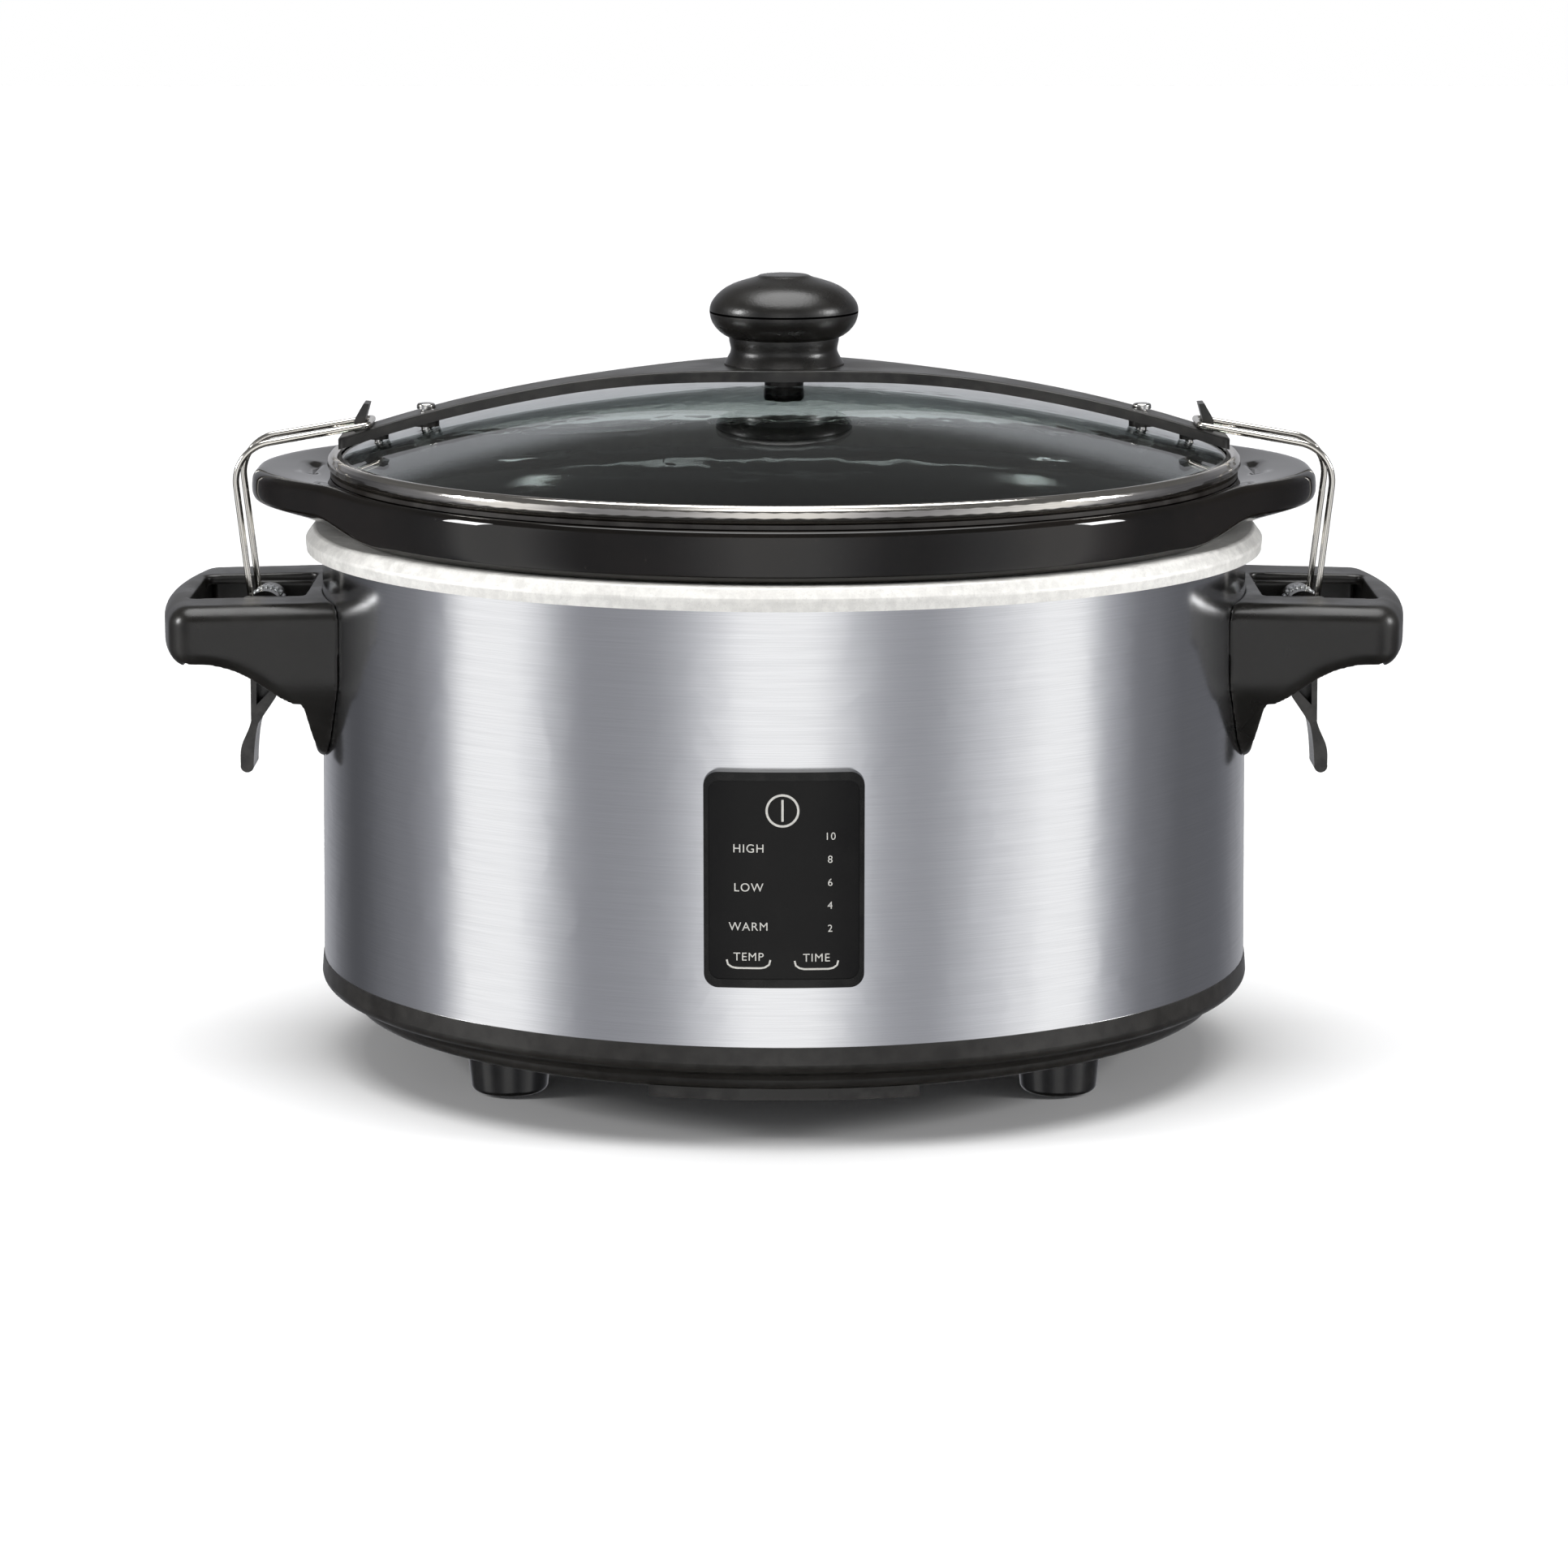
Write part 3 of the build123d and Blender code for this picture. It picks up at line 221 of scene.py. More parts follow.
def noise(tree, where, scale, detail=3.0, roughness=0.5):
    """A Noise texture's value at a place, at so many cells a metre."""
    made = add_node(tree, "ShaderNodeTexNoise", Scale=scale, Detail=detail, Roughness=roughness)
    tree.links.new(where, made.inputs["Vector"])
    return made.outputs["Fac"]


def place_on(tree):
    """The place on the piece itself, in metres."""
    return add_node(tree, "ShaderNodeTexCoord").outputs["Object"]


def stretched(tree, along, across):
    """The place on the piece with X and Y scaled by one number and Z by another."""
    parts = add_node(tree, "ShaderNodeSeparateXYZ")
    tree.links.new(place_on(tree), parts.inputs[0])
    joined = add_node(tree, "ShaderNodeCombineXYZ")
    for axis, factor in (("X", along), ("Y", along), ("Z", across)):
        tree.links.new(calc(tree, "MULTIPLY", parts.outputs[axis], factor), joined.inputs[axis])
    return joined.outputs[0]


# Level scratches: Line Width and Line Length in metres, a Tone round 0.5, and a Height for a bump.
brushed_lines, given, put = new_group("brushed_lines", {"Line Width": 0.0004, "Line Length": 0.04},
                                      {"Tone": "Float", "Height": "Float"})
lines = brushed_lines
along = calc(lines, "DIVIDE", 1.0, given["Line Length"])
across = calc(lines, "DIVIDE", 1.0, given["Line Width"])
fine = noise(lines, stretched(lines, along, across), 1.0, detail=2.0, roughness=0.7)
broad_along = calc(lines, "MULTIPLY", along, 0.3)
broad_across = calc(lines, "MULTIPLY", across, 0.16)
broad = noise(lines, stretched(lines, broad_along, broad_across), 1.0, detail=2.0)
tone = calc(lines, "ADD", calc(lines, "MULTIPLY", fine, 0.7), calc(lines, "MULTIPLY", broad, 0.3))
lines.links.new(tone, put["Tone"])
lines.links.new(fine, put["Height"])

# Settled dust: a mask of faint specks and patches, thicker on faces that look up.
settled_dust, given, put = new_group("settled_dust", {"Amount": 0.2, "Patch Size": 0.03}, {"Mask": "Float"})
facing = add_node(settled_dust, "ShaderNodeSeparateXYZ")
settled_dust.links.new(add_node(settled_dust, "ShaderNodeNewGeometry").outputs["Normal"], facing.inputs[0])
upward = fade(settled_dust, facing.outputs["Z"], -0.1, 1.0, low=0.25)
per_metre = calc(settled_dust, "DIVIDE", 1.0, given["Patch Size"])
patch_place = add_node(settled_dust, "ShaderNodeVectorMath", operation="SCALE")
settled_dust.links.new(place_on(settled_dust), patch_place.inputs[0])
settled_dust.links.new(per_metre, patch_place.inputs["Scale"])
patches = fade(settled_dust, noise(settled_dust, patch_place.outputs[0], 1.0, detail=5.0), 0.42, 0.75)
specks = fade(settled_dust, noise(settled_dust, patch_place.outputs[0], 42.0, detail=1.0), 0.66, 0.74)
dusty = calc(settled_dust, "MULTIPLY", calc(settled_dust, "MAXIMUM", patches, specks), upward)
settled_dust.links.new(calc(settled_dust, "MULTIPLY", dusty, given["Amount"], clamp=True), put["Mask"])


def new_material(name, **sockets):
    """A material with plain values on its Principled shader: the material, its tree and shader."""
    made = bpy.data.materials.new(name)
    made.use_nodes = True
    shader = made.node_tree.nodes["Principled BSDF"]
    for socket, value in sockets.items():
        if isinstance(value, tuple):
            value = (*value, 1.0)
        shader.inputs[socket.replace("_", " ")].default_value = value
    return made, made.node_tree, shader.inputs


def add_bump(tree, into, height_value, depth):
    """Raise a height value as a bump of so many metres."""
    bump = add_node(tree, "ShaderNodeBump", Strength=1.0, Distance=depth)
    tree.links.new(height_value, bump.inputs["Height"])
    tree.links.new(bump.outputs["Normal"], into["Normal"])


def dress(names, finish):
    """Give CAD nodes one finish."""
    for name in names:
        nodes[name].data.materials.clear()
        nodes[name].data.materials.append(finish)


brushed_steel, tree, into = new_material("brushed_steel", Metallic=1.0, Anisotropic=0.3)
level = use_group(tree, brushed_lines, Line_Width=0.00026, Line_Length=0.03)
dust = use_group(tree, settled_dust, Amount=0.10, Patch_Size=0.05)
streaked = blend_colour(tree, fade(tree, level["Tone"], 0.30, 0.70),
                        (0.79, 0.795, 0.81), (0.87, 0.875, 0.89))
tree.links.new(blend_colour(tree, dust["Mask"], streaked, (0.62, 0.61, 0.59)), into["Base Color"])
tree.links.new(fade(tree, level["Tone"], 0.25, 0.75, low=0.17, high=0.11), into["Roughness"])
add_bump(tree, into, level["Height"], 0.0000008)
tangent = add_node(tree, "ShaderNodeTangent", direction_type="RADIAL", axis="Z")
tree.links.new(tangent.outputs[0], into["Tangent"])
dress(["outer_shell"], brushed_steel)

# ---- heating well -------------------------------------------------------------------------------
# The well is drawn from aluminised steel, matt and a little mottled, and its rolled rim carries the
# crock's collar and clamps the top edge of the shell.
aluminised, tree, into = new_material("aluminised_sheet", Metallic=0.35, Specular_IOR_Level=0.4)
dust = use_group(tree, settled_dust, Amount=0.25, Patch_Size=0.02)
cloud = noise(tree, place_on(tree), 260.0, detail=4.0, roughness=0.7)
spangle = noise(tree, place_on(tree), 1500.0, detail=2.0)
mottled = blend_colour(tree, fade(tree, cloud, 0.34, 0.66), (0.74, 0.73, 0.70), (0.86, 0.85, 0.815))
speckled = blend_colour(tree, fade(tree, spangle, 0.60, 0.74, high=0.25), mottled, (0.42, 0.41, 0.39))
tree.links.new(blend_colour(tree, dust["Mask"], speckled, (0.5, 0.48, 0.45)), into["Base Color"])
tree.links.new(fade(tree, cloud, 0.3, 0.7, low=0.42, high=0.62), into["Roughness"])
add_bump(tree, into, spangle, 0.00003)
dress(["heating_well", "heat_shield"], aluminised)

# ---- heater, sensor and fuse --------------------------------------------------------------------
# A sheathed band heater is drawn tight round the well by two bolts. The sensor is pressed up under
# the well's floor by a spring-steel bracket, and a thermal fuse in a sleeve lies against the wall.
heater_sheath, tree, into = new_material("heater_sheath", Metallic=0.85)
level = use_group(tree, brushed_lines, Line_Width=0.0011, Line_Length=0.02)
heat_tint = noise(tree, place_on(tree), 34.0, detail=3.0)
tinted = blend_colour(tree, fade(tree, heat_tint, 0.35, 0.65), (0.46, 0.40, 0.33), (0.60, 0.58, 0.55))
tree.links.new(tinted, into["Base Color"])
tree.links.new(fade(tree, level["Tone"], 0.2, 0.8, low=0.32, high=0.5), into["Roughness"])
add_bump(tree, into, level["Height"], 0.00002)
dress(["heater_band", "temperature_sensor", "thermal_fuse"], heater_sheath)

# Zinc-plated fasteners and stampings: pale blue-grey plate with a fine crystal mottle.
zinc_plate, tree, into = new_material("zinc_plate", Metallic=1.0)
crystals = noise(tree, place_on(tree), 900.0, detail=3.0, roughness=0.6)
tree.links.new(blend_colour(tree, fade(tree, crystals, 0.35, 0.65), (0.50, 0.52, 0.54), (0.68, 0.69, 0.68)),
               into["Base Color"])
tree.links.new(fade(tree, crystals, 0.3, 0.7, low=0.25, high=0.42), into["Roughness"])
add_bump(tree, into, crystals, 0.00001)
dress(["heater_clamp_bolts", "sensor_bracket", "tie_bolt", "tie_nut", "handle_plates", "handle_screws",
       "board_screws", "foot_screws"], zinc_plate)

# ---- base, feet and cord gland ------------------------------------------------------------------
# The base is a dark phenolic moulding with a fine satin grain. It stands on four glossier moulded
# feet with rubber pads, and a cord gland comes out at the rear.

# Moulded grain: Cell Size in metres, a slow Tone for colour and gloss, and a Height for a bump.
moulded_grain, given, put = new_group("moulded_grain", {"Cell Size": 0.0008},
                                      {"Tone": "Float", "Height": "Float"})
cell_place = add_node(moulded_grain, "ShaderNodeVectorMath", operation="SCALE")
moulded_grain.links.new(place_on(moulded_grain), cell_place.inputs[0])
moulded_grain.links.new(calc(moulded_grain, "DIVIDE", 1.0, given["Cell Size"]), cell_place.inputs["Scale"])
moulded_grain.links.new(noise(moulded_grain, cell_place.outputs[0], 0.05, detail=4.0), put["Tone"])
moulded_grain.links.new(noise(moulded_grain, cell_place.outputs[0], 1.0, detail=2.0), put["Height"])

# Worn edges: a mask that is bright on convex edges, broken up so that it looks rubbed.
worn_edges, given, put = new_group("worn_edges", {"Spread": 0.05, "Amount": 1.0}, {"Mask": "Float"})
point = add_node(worn_edges, "ShaderNodeNewGeometry").outputs["Pointiness"]
beyond = calc(worn_edges, "DIVIDE", calc(worn_edges, "SUBTRACT", point, 0.5), given["Spread"], clamp=True)
rubbed = fade(worn_edges, noise(worn_edges, place_on(worn_edges), 180.0, detail=4.0), 0.35, 0.65)
broken_edge = calc(worn_edges, "MULTIPLY", beyond, rubbed)
worn_edges.links.new(calc(worn_edges, "MULTIPLY", broken_edge, given["Amount"]), put["Mask"])


def moulding(name, dark, light, gloss_low, gloss_high, cell, depth, wear=0.5, **sockets):
    """A black moulded plastic: two shades by patch, a roughness range, grain size and edge wear."""
    made, tree, into = new_material(name, **sockets)
    grain = use_group(tree, moulded_grain, Cell_Size=cell)
    worn = use_group(tree, worn_edges, Spread=0.06, Amount=wear)
    dust = use_group(tree, settled_dust, Amount=0.05, Patch_Size=0.02)
    shade = blend_colour(tree, fade(tree, grain["Tone"], 0.35, 0.65), dark, light)
    rubbed_shade = blend_colour(tree, worn["Mask"], shade, (0.05, 0.047, 0.043))
    tree.links.new(blend_colour(tree, dust["Mask"], rubbed_shade, (0.10, 0.095, 0.085)), into["Base Color"])
    tree.links.new(fade(tree, grain["Tone"], 0.3, 0.7, low=gloss_low, high=gloss_high), into["Roughness"])
    add_bump(tree, into, grain["Height"], depth)
    return made


base_moulding = moulding("base_moulding", (0.013, 0.0118, 0.0102), (0.017, 0.0155, 0.0135),
                         0.30, 0.40, 0.0007, 0.00002, Specular_IOR_Level=0.5)
foot_moulding = moulding("foot_moulding", (0.007, 0.0066, 0.006), (0.010, 0.0095, 0.009),
                         0.14, 0.22, 0.0009, 0.000006)
rubber = moulding("black_rubber", (0.010, 0.009, 0.008), (0.016, 0.015, 0.0135),
                  0.5, 0.7, 0.0006, 0.00002, Specular_IOR_Level=0.3)
dress(["base_tray"], base_moulding)
dress(["feet"], foot_moulding)
dress(["foot_pads", "cord_gland"], rubber)

# ---- electronics --------------------------------------------------------------------------------
# Two glass-epoxy boards under solder resist, the power board on the base and the display board
# behind the panel, joined by a ribbon cable. Their parts stand on them.
solder_resist, tree, into = new_material("solder_resist", Specular_IOR_Level=0.5, Coat_Weight=0.3)
tracks = add_node(tree, "ShaderNodeTexBrick", Scale=220.0, Mortar_Size=0.03, Mortar_Smooth=0.2)
tree.links.new(place_on(tree), tracks.inputs["Vector"])
tracks.inputs["Color1"].default_value = (0.012, 0.075, 0.035, 1.0)
tracks.inputs["Color2"].default_value = (0.018, 0.095, 0.045, 1.0)
tracks.inputs["Mortar"].default_value = (0.05, 0.16, 0.07, 1.0)
tree.links.new(tracks.outputs["Color"], into["Base Color"])
resist_cloud = noise(tree, place_on(tree), 500.0)
tree.links.new(fade(tree, resist_cloud, 0.3, 0.7, low=0.25, high=0.4), into["Roughness"])
add_bump(tree, into, tracks.outputs["Fac"], 0.00003)
dress(["power_board", "control_board"], solder_resist)

# Each part's case has its own colour of moulding or tape.
CASES = {"transformer": (0.42, 0.30, 0.05), "relay": (0.02, 0.035, 0.09),
         "mains_terminals": (0.05, 0.17, 0.06), "capacitors": (0.03, 0.035, 0.07),
         "button_switches": (0.02, 0.02, 0.02), "indicator_lamps": (0.75, 0.70, 0.55)}
for name, colour in CASES.items():
    lighter = tuple(channel * 1.35 for channel in colour)
    case = moulding(name + "_case", colour, lighter, 0.3, 0.45, 0.0005, 0.00001, wear=0.2)
    dress([name], case)

ribbon_pvc, tree, into = new_material("ribbon_pvc", Roughness=0.4)
cores = add_node(tree, "ShaderNodeTexWave", wave_type="BANDS", bands_direction="X", Scale=125.0)
tree.links.new(place_on(tree), cores.inputs["Vector"])
# The insulation is lighter on the cores and darker in the grooves between them. This is painted shade that
# follows the bump.
tree.links.new(blend_colour(tree, cores.outputs["Fac"], (0.30, 0.30, 0.31), (0.52, 0.52, 0.53)),
               into["Base Color"])
add_bump(tree, into, cores.outputs["Fac"], 0.0002)
dress(["ribbon_cable"], ribbon_pvc)

# ---- control panel ------------------------------------------------------------------------------
# A gloss black moulded bezel stands proud of the shell and holds a hard-coated touch overlay, which
# has its legends printed on it in off-white.
bezel_gloss = moulding("bezel_gloss", (0.003, 0.003, 0.003), (0.005, 0.005, 0.0048),
                       0.06, 0.10, 0.0012, 0.000002, wear=0.1, Specular_IOR_Level=0.25)
overlay_gloss = moulding("overlay_gloss", (0.0028, 0.0026, 0.0026), (0.0036, 0.0034, 0.0033),
                         0.10, 0.14, 0.0010, 0.000002, wear=0.0, Specular_IOR_Level=0.2)
dress(["control_bezel"], bezel_gloss)
dress(["control_overlay"], overlay_gloss)

overlay_low, overlay_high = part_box("control_overlay")
overlay_mid = (overlay_low + overlay_high) / 2
INK_PROUD = 0.00009
LINE_WIDTH = 0.00062
RING_WIDTH = 0.00075
# Each word has its place across and up from the overlay's middle, and its letter size.
WORDS = [("HIGH", -0.0117, 0.0106, 0.0040), ("LOW", -0.0117, -0.0025, 0.0040),
         ("WARM", -0.0117, -0.0157, 0.0040),
         ("TEMP", -0.0117, -0.0259, 0.0039), ("TIME", 0.0107, -0.0262, 0.0039)]
HOURS = (10, 8, 6, 4, 2)
HOURS_X, HOURS_TOP, HOURS_STEP, HOURS_SIZE = 0.0152, 0.0147, 0.00775, 0.0035
for step, hours in enumerate(HOURS):
    WORDS.append((str(hours), HOURS_X, HOURS_TOP - HOURS_STEP * step, HOURS_SIZE))
ink = bmesh.new()


def print_word(word, across, up, size):
    """Set a word in plain capitals and add its filled outline to the ink, as (across, up, 0)."""
    letters = bpy.data.curves.new("letters", "FONT")
    letters.body = word
    letters.size = size
    letters.space_character = 1.12
    letters.align_x = "CENTER"
    letters.align_y = "CENTER"
    letters.resolution_u = 6
    holder = bpy.data.objects.new("letters", letters)
    flat = bpy.data.meshes.new_from_object(holder)
    for vertex in flat.vertices:
        vertex.co = (vertex.co.x + across, vertex.co.y + up, 0.0)
    ink.from_mesh(flat)
    bpy.data.meshes.remove(flat)
    bpy.data.objects.remove(holder)
    bpy.data.curves.remove(letters)


def print_line(points, width=LINE_WIDTH):
    """Add a line of even width through (across, up) points to the ink."""
    edges = []
    for number, (x, y) in enumerate(points):
        before = points[max(number - 1, 0)]
        after = points[min(number + 1, len(points) - 1)]
        if points[0] == points[-1] and number in (0, len(points) - 1):
            before, after = points[-2], points[1]
        way = Vector((after[0] - before[0], after[1] - before[1])).normalized() * width / 2
        edges.append((ink.verts.new((x - way.y, y + way.x, 0.0)),
                      ink.verts.new((x + way.y, y - way.x, 0.0))))
    for (a, b), (c, d) in zip(edges, edges[1:]):
        ink.faces.new((a, b, d, c))


for word in WORDS:
    print_word(*word)

# The power mark is a ring with a bar, and each of the two lowest words sits in a shallow cradle.
POWER_X, POWER_Z, POWER_R = -0.0005, 0.0234, 0.0052
RING_TURNS = [math.tau * step / 48 for step in range(49)]
print_line([(POWER_X + POWER_R * math.cos(angle), POWER_Z + POWER_R * math.sin(angle))
            for angle in RING_TURNS], RING_WIDTH)
print_line([(POWER_X, POWER_Z - 0.0036), (POWER_X, POWER_Z + 0.0037)], RING_WIDTH)
CRADLES = ((-0.0117, -0.0296), (0.0107, -0.0299))
for across, up in CRADLES:
    cradle = [(-0.0072, 0.0028), (-0.0068, 0.0012), (-0.0055, 0.0003)]
    cradle += [(0.001 * step, 0.0) for step in range(-4, 5)]
    cradle += [(-x, y) for x, y in reversed(cradle[:3])]
    print_line([(across + x, up + y) for x, y in cradle])

# Every ink vertex is pressed back onto the overlay's curved front.
overlay = nodes["control_overlay"]
bmesh.ops.triangulate(ink, faces=ink.faces[:])
for vertex in ink.verts:
    x, z = vertex.co.x + overlay_mid.x, vertex.co.y + overlay_mid.z
    in_front = Vector((x, overlay_low.y - 0.05, z))
    hit, spot, normal, face = overlay.ray_cast(in_front, Vector((0.0, 1.0, 0.0)))
    vertex.co = (x, (spot.y if hit else overlay_low.y) - INK_PROUD, z)
ink_mesh = bpy.data.meshes.new("panel_legends")
ink.to_mesh(ink_mesh)
ink.free()


def add_piece(name, mesh, finish, body):
    """Put a made mesh in the scene as a piece that rides on a body and takes a slot's finish."""
    piece = bpy.data.objects.new(name, mesh)
    bpy.context.scene.collection.objects.link(piece)
    mesh.materials.append(finish)
    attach(piece, body)
    return piece


legend_ink, tree, into = new_material("legend_ink", Specular_IOR_Level=0.3)
grain = use_group(tree, moulded_grain, Cell_Size=0.0002)
tree.links.new(blend_colour(tree, grain["Height"], (0.50, 0.49, 0.46), (0.66, 0.65, 0.61)),
               into["Base Color"])
tree.links.new(fade(tree, grain["Tone"], 0.3, 0.7, low=0.4, high=0.55), into["Roughness"])
add_piece("panel_legends", ink_mesh, legend_ink, "cooker")

# ---- crock --------------------------------------------------------------------------------------
# The pot is one stoneware casting under a thick black glaze. Its collar swells into a lifting lug at
# each end, which turns up a little, has a shallow drip groove beside the lid and steps in beneath.
OVAL = 0.862
TURNS = 320
COLLAR = 0.1635
LUG_TIP = 0.1873
LUG_SLANT = (0.6986, 0.7154, 0.1516)     # across and along parts of its normal, and its distance
LUG_FADE_DEG = (30.0, 38.0)
LUG_CORNER = 0.022                       # how far its two outlines round into each other
# Each ring is its long half-axis, how far it follows the lug, its height, and its height on a lug.
CROCK_RINGS = [
    (0.030, 0, 0.0660, 0.0660), (0.090, 0, 0.0660, 0.0660), (0.112, 0, 0.0663, 0.0663),
    (0.123, 0, 0.0685, 0.0685), (0.1296, 0, 0.0760, 0.0760), (0.1325, 0, 0.0900, 0.0900),
    (0.1352, 0, 0.1300, 0.1300), (0.1366, 0, 0.1720, 0.1720), (0.1375, 0, 0.1900, 0.1900),
    (0.1384, 0, 0.1955, 0.1955), (0.1402, 0, 0.1984, 0.1984), (0.1440, 0, 0.1997, 0.1997),
    (0.1482, 0, 0.2002, 0.2002), (0.1497, 0, 0.2012, 0.2012), (0.1501, 0, 0.2040, 0.2040),
    (0.1503, 0, 0.2080, 0.2080), (0.1512, 0, 0.2091, 0.2091), (0.1540, 0, 0.2092, 0.2092),
    (0.1585, 0, 0.2092, 0.2092), (0.1602, 0.04, 0.2092, 0.2093), (0.1610, 0.16, 0.2092, 0.2100),
    (0.1614, 0.40, 0.2092, 0.2110), (0.1617, 0.70, 0.2092, 0.2117), (0.1620, 0.90, 0.2091, 0.2118),
    (0.1626, 0.975, 0.2087, 0.2111), (0.1634, 1, 0.2074, 0.2096), (0.1638, 1, 0.2052, 0.2082),
    (0.1640, 1, 0.2010, 0.2062), (0.1639, 1, 0.1970, 0.2040), (0.1636, 0.99, 0.1945, 0.2022),
    (0.1630, 0.96, 0.1932, 0.2010), (0.1622, 0.86, 0.1925, 0.2000), (0.1614, 0.68, 0.1922, 0.1988),
    (0.1606, 0.46, 0.1921, 0.1972), (0.1597, 0.24, 0.1920, 0.1948), (0.1588, 0.08, 0.1920, 0.1928),
    (0.1580, 0.01, 0.1920, 0.1921), (0.1540, 0, 0.1920, 0.1920),
    (0.1490, 0, 0.1908, 0.1908), (0.1452, 0, 0.1865, 0.1865), (0.1432, 0, 0.1790, 0.1790),
    (0.1430, 0, 0.1500, 0.1500), (0.1412, 0, 0.1000, 0.1000), (0.1384, 0, 0.0740, 0.0740),
    (0.1340, 0, 0.0640, 0.0640), (0.1270, 0, 0.0590, 0.0590), (0.1150, 0, 0.0580, 0.0580),
    (0.030, 0, 0.0580, 0.0580)]
RING_STEPS = 3
GROOVE_OUT, GROOVE_HALF = 0.1676, 0.0150      # its distance out, and half its length
GROOVE_WIDTH, GROOVE_DEPTH = 0.0013, 0.0030
GROOVE_ABOVE = 0.2085                         # only the top of the collar has it
LUG_LIFT_REACH = 0.010                        # the lug has its full height this far out


def smooth_share(value, start, end):
    """0 before start, 1 after end, and an S-curve between them."""
    share = min(1.0, max(0.0, (value - start) / (end - start)))
    return share * share * (3 - 2 * share)


def soft_min(a, b, reach):
    """The lower of two values, rounded off where they are closer than reach."""
    share = max(0.0, reach - abs(a - b)) / reach
    return min(a, b) - share * share * reach / 4


def through(rings, steps):
    """A finer list that runs smoothly through the given rings."""
    made = []
    for number in range(len(rings) - 1):
        four = [rings[min(max(number + shift, 0), len(rings) - 1)] for shift in (-1, 0, 1, 2)]
        for step in range(steps):
            t = step / steps
            made.append(tuple(0.5 * (2 * b + (c - a) * t + (2 * a - 5 * b + 4 * c - d) * t * t
                                     + (3 * b - a - 3 * c + d) * t ** 3) for a, b, c, d in zip(*four)))
    return made + [rings[-1]]


def lug_reach(turn_angle):
    """How far the lug stands out beyond the collar's oval, in the direction of this point on it."""
    across, along = COLLAR * math.cos(turn_angle), COLLAR * OVAL * math.sin(turn_angle)
    edge = math.hypot(across, along)
    lean = math.degrees(math.atan2(abs(along), abs(across)))
    ux, uy = abs(across) / edge, abs(along) / edge
    slant = LUG_SLANT[2] / (LUG_SLANT[0] * ux + LUG_SLANT[1] * uy)
    reach = soft_min(LUG_TIP / max(ux, 0.05), slant, LUG_CORNER) - edge
    return max(0.0, reach) * (1.0 - smooth_share(lean, *LUG_FADE_DEG))


def skin(rings):
    """Join rings of equally many vertices into a closed skin with a face over each end."""
    mesh = bmesh.new()
    rows = [[mesh.verts.new(spot) for spot in ring] for ring in rings]
    for inner, outer in zip(rows, rows[1:]):
        for number in range(len(inner)):
            nearby = (number + 1) % len(inner)
            mesh.faces.new((inner[number], inner[nearby], outer[nearby], outer[number]))
    mesh.faces.new(rows[0][::-1])
    mesh.faces.new(rows[-1])
    bmesh.ops.recalc_face_normals(mesh, faces=mesh.faces[:])
    for face in mesh.faces:
        face.smooth = len(face.verts) == 4
    made = bpy.data.meshes.new("skin")
    mesh.to_mesh(made)
    mesh.free()
    return made


crock_rings = []
for half, share, level_z, lug_z in through(CROCK_RINGS, RING_STEPS):
    ring = []
    for number in range(TURNS):
        angle = math.tau * number / TURNS
        reach = lug_reach(angle)
        x, y = half * math.cos(angle), half * OVAL * math.sin(angle)
        out = 1.0 + share * reach / math.hypot(x, y)
        x, y = x * out, y * out
        z = level_z + (lug_z - level_z) * smooth_share(reach, 0.0, LUG_LIFT_REACH)
        from_groove = math.hypot(x, y / OVAL) - GROOVE_OUT
        if z > GROOVE_ABOVE and abs(from_groove) < 3 * GROOVE_WIDTH:
            ends = 1 - smooth_share(abs(y), GROOVE_HALF * 0.6, GROOVE_HALF)
            z -= GROOVE_DEPTH * math.exp(-(from_groove / GROOVE_WIDTH) ** 2) * ends
        ring.append((x, y, z))
    crock_rings.append(ring)
crock_mesh = skin(crock_rings)

# Inside the pot the glaze is dulled by stirring and scouring, and it is fresh on the collar.
SCOURED_OUT_TO = (0.1395, 0.1415)
SCOURED_ROUGHNESS = 0.20
black_glaze, tree, into = new_material("black_glaze", Roughness=0.03, Specular_IOR_Level=0.5)
cloud = noise(tree, place_on(tree), 22.0, detail=3.0)
pinholes = fade(tree, noise(tree, place_on(tree), 900.0, detail=1.0), 0.74, 0.80)
glaze = blend_colour(tree, fade(tree, cloud, 0.35, 0.65),
                     (0.0050, 0.0043, 0.0036), (0.0085, 0.0068, 0.0056))
tree.links.new(blend_colour(tree, pinholes, glaze, (0.02, 0.016, 0.013)), into["Base Color"])
inside = add_node(tree, "ShaderNodeVectorMath", operation="LENGTH")
flattened = add_node(tree, "ShaderNodeMapping", vector_type="POINT")
flattened.inputs["Scale"].default_value = (1.0, 1.0 / OVAL, 0.0)
tree.links.new(place_on(tree), flattened.inputs["Vector"])
tree.links.new(flattened.outputs[0], inside.inputs[0])
scoured = fade(tree, inside.outputs["Value"], *SCOURED_OUT_TO, low=SCOURED_ROUGHNESS, high=0.0)
fresh = fade(tree, cloud, 0.3, 0.7, low=0.02, high=0.045)
tree.links.new(calc(tree, "MAXIMUM", scoured, fresh), into["Roughness"])
ripple = calc(tree, "ADD", calc(tree, "MULTIPLY", cloud, 3.0), pinholes)
add_bump(tree, into, ripple, 0.000008)
crock = add_piece("crock_glazed", crock_mesh, black_glaze, "crock")
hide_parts("crock")

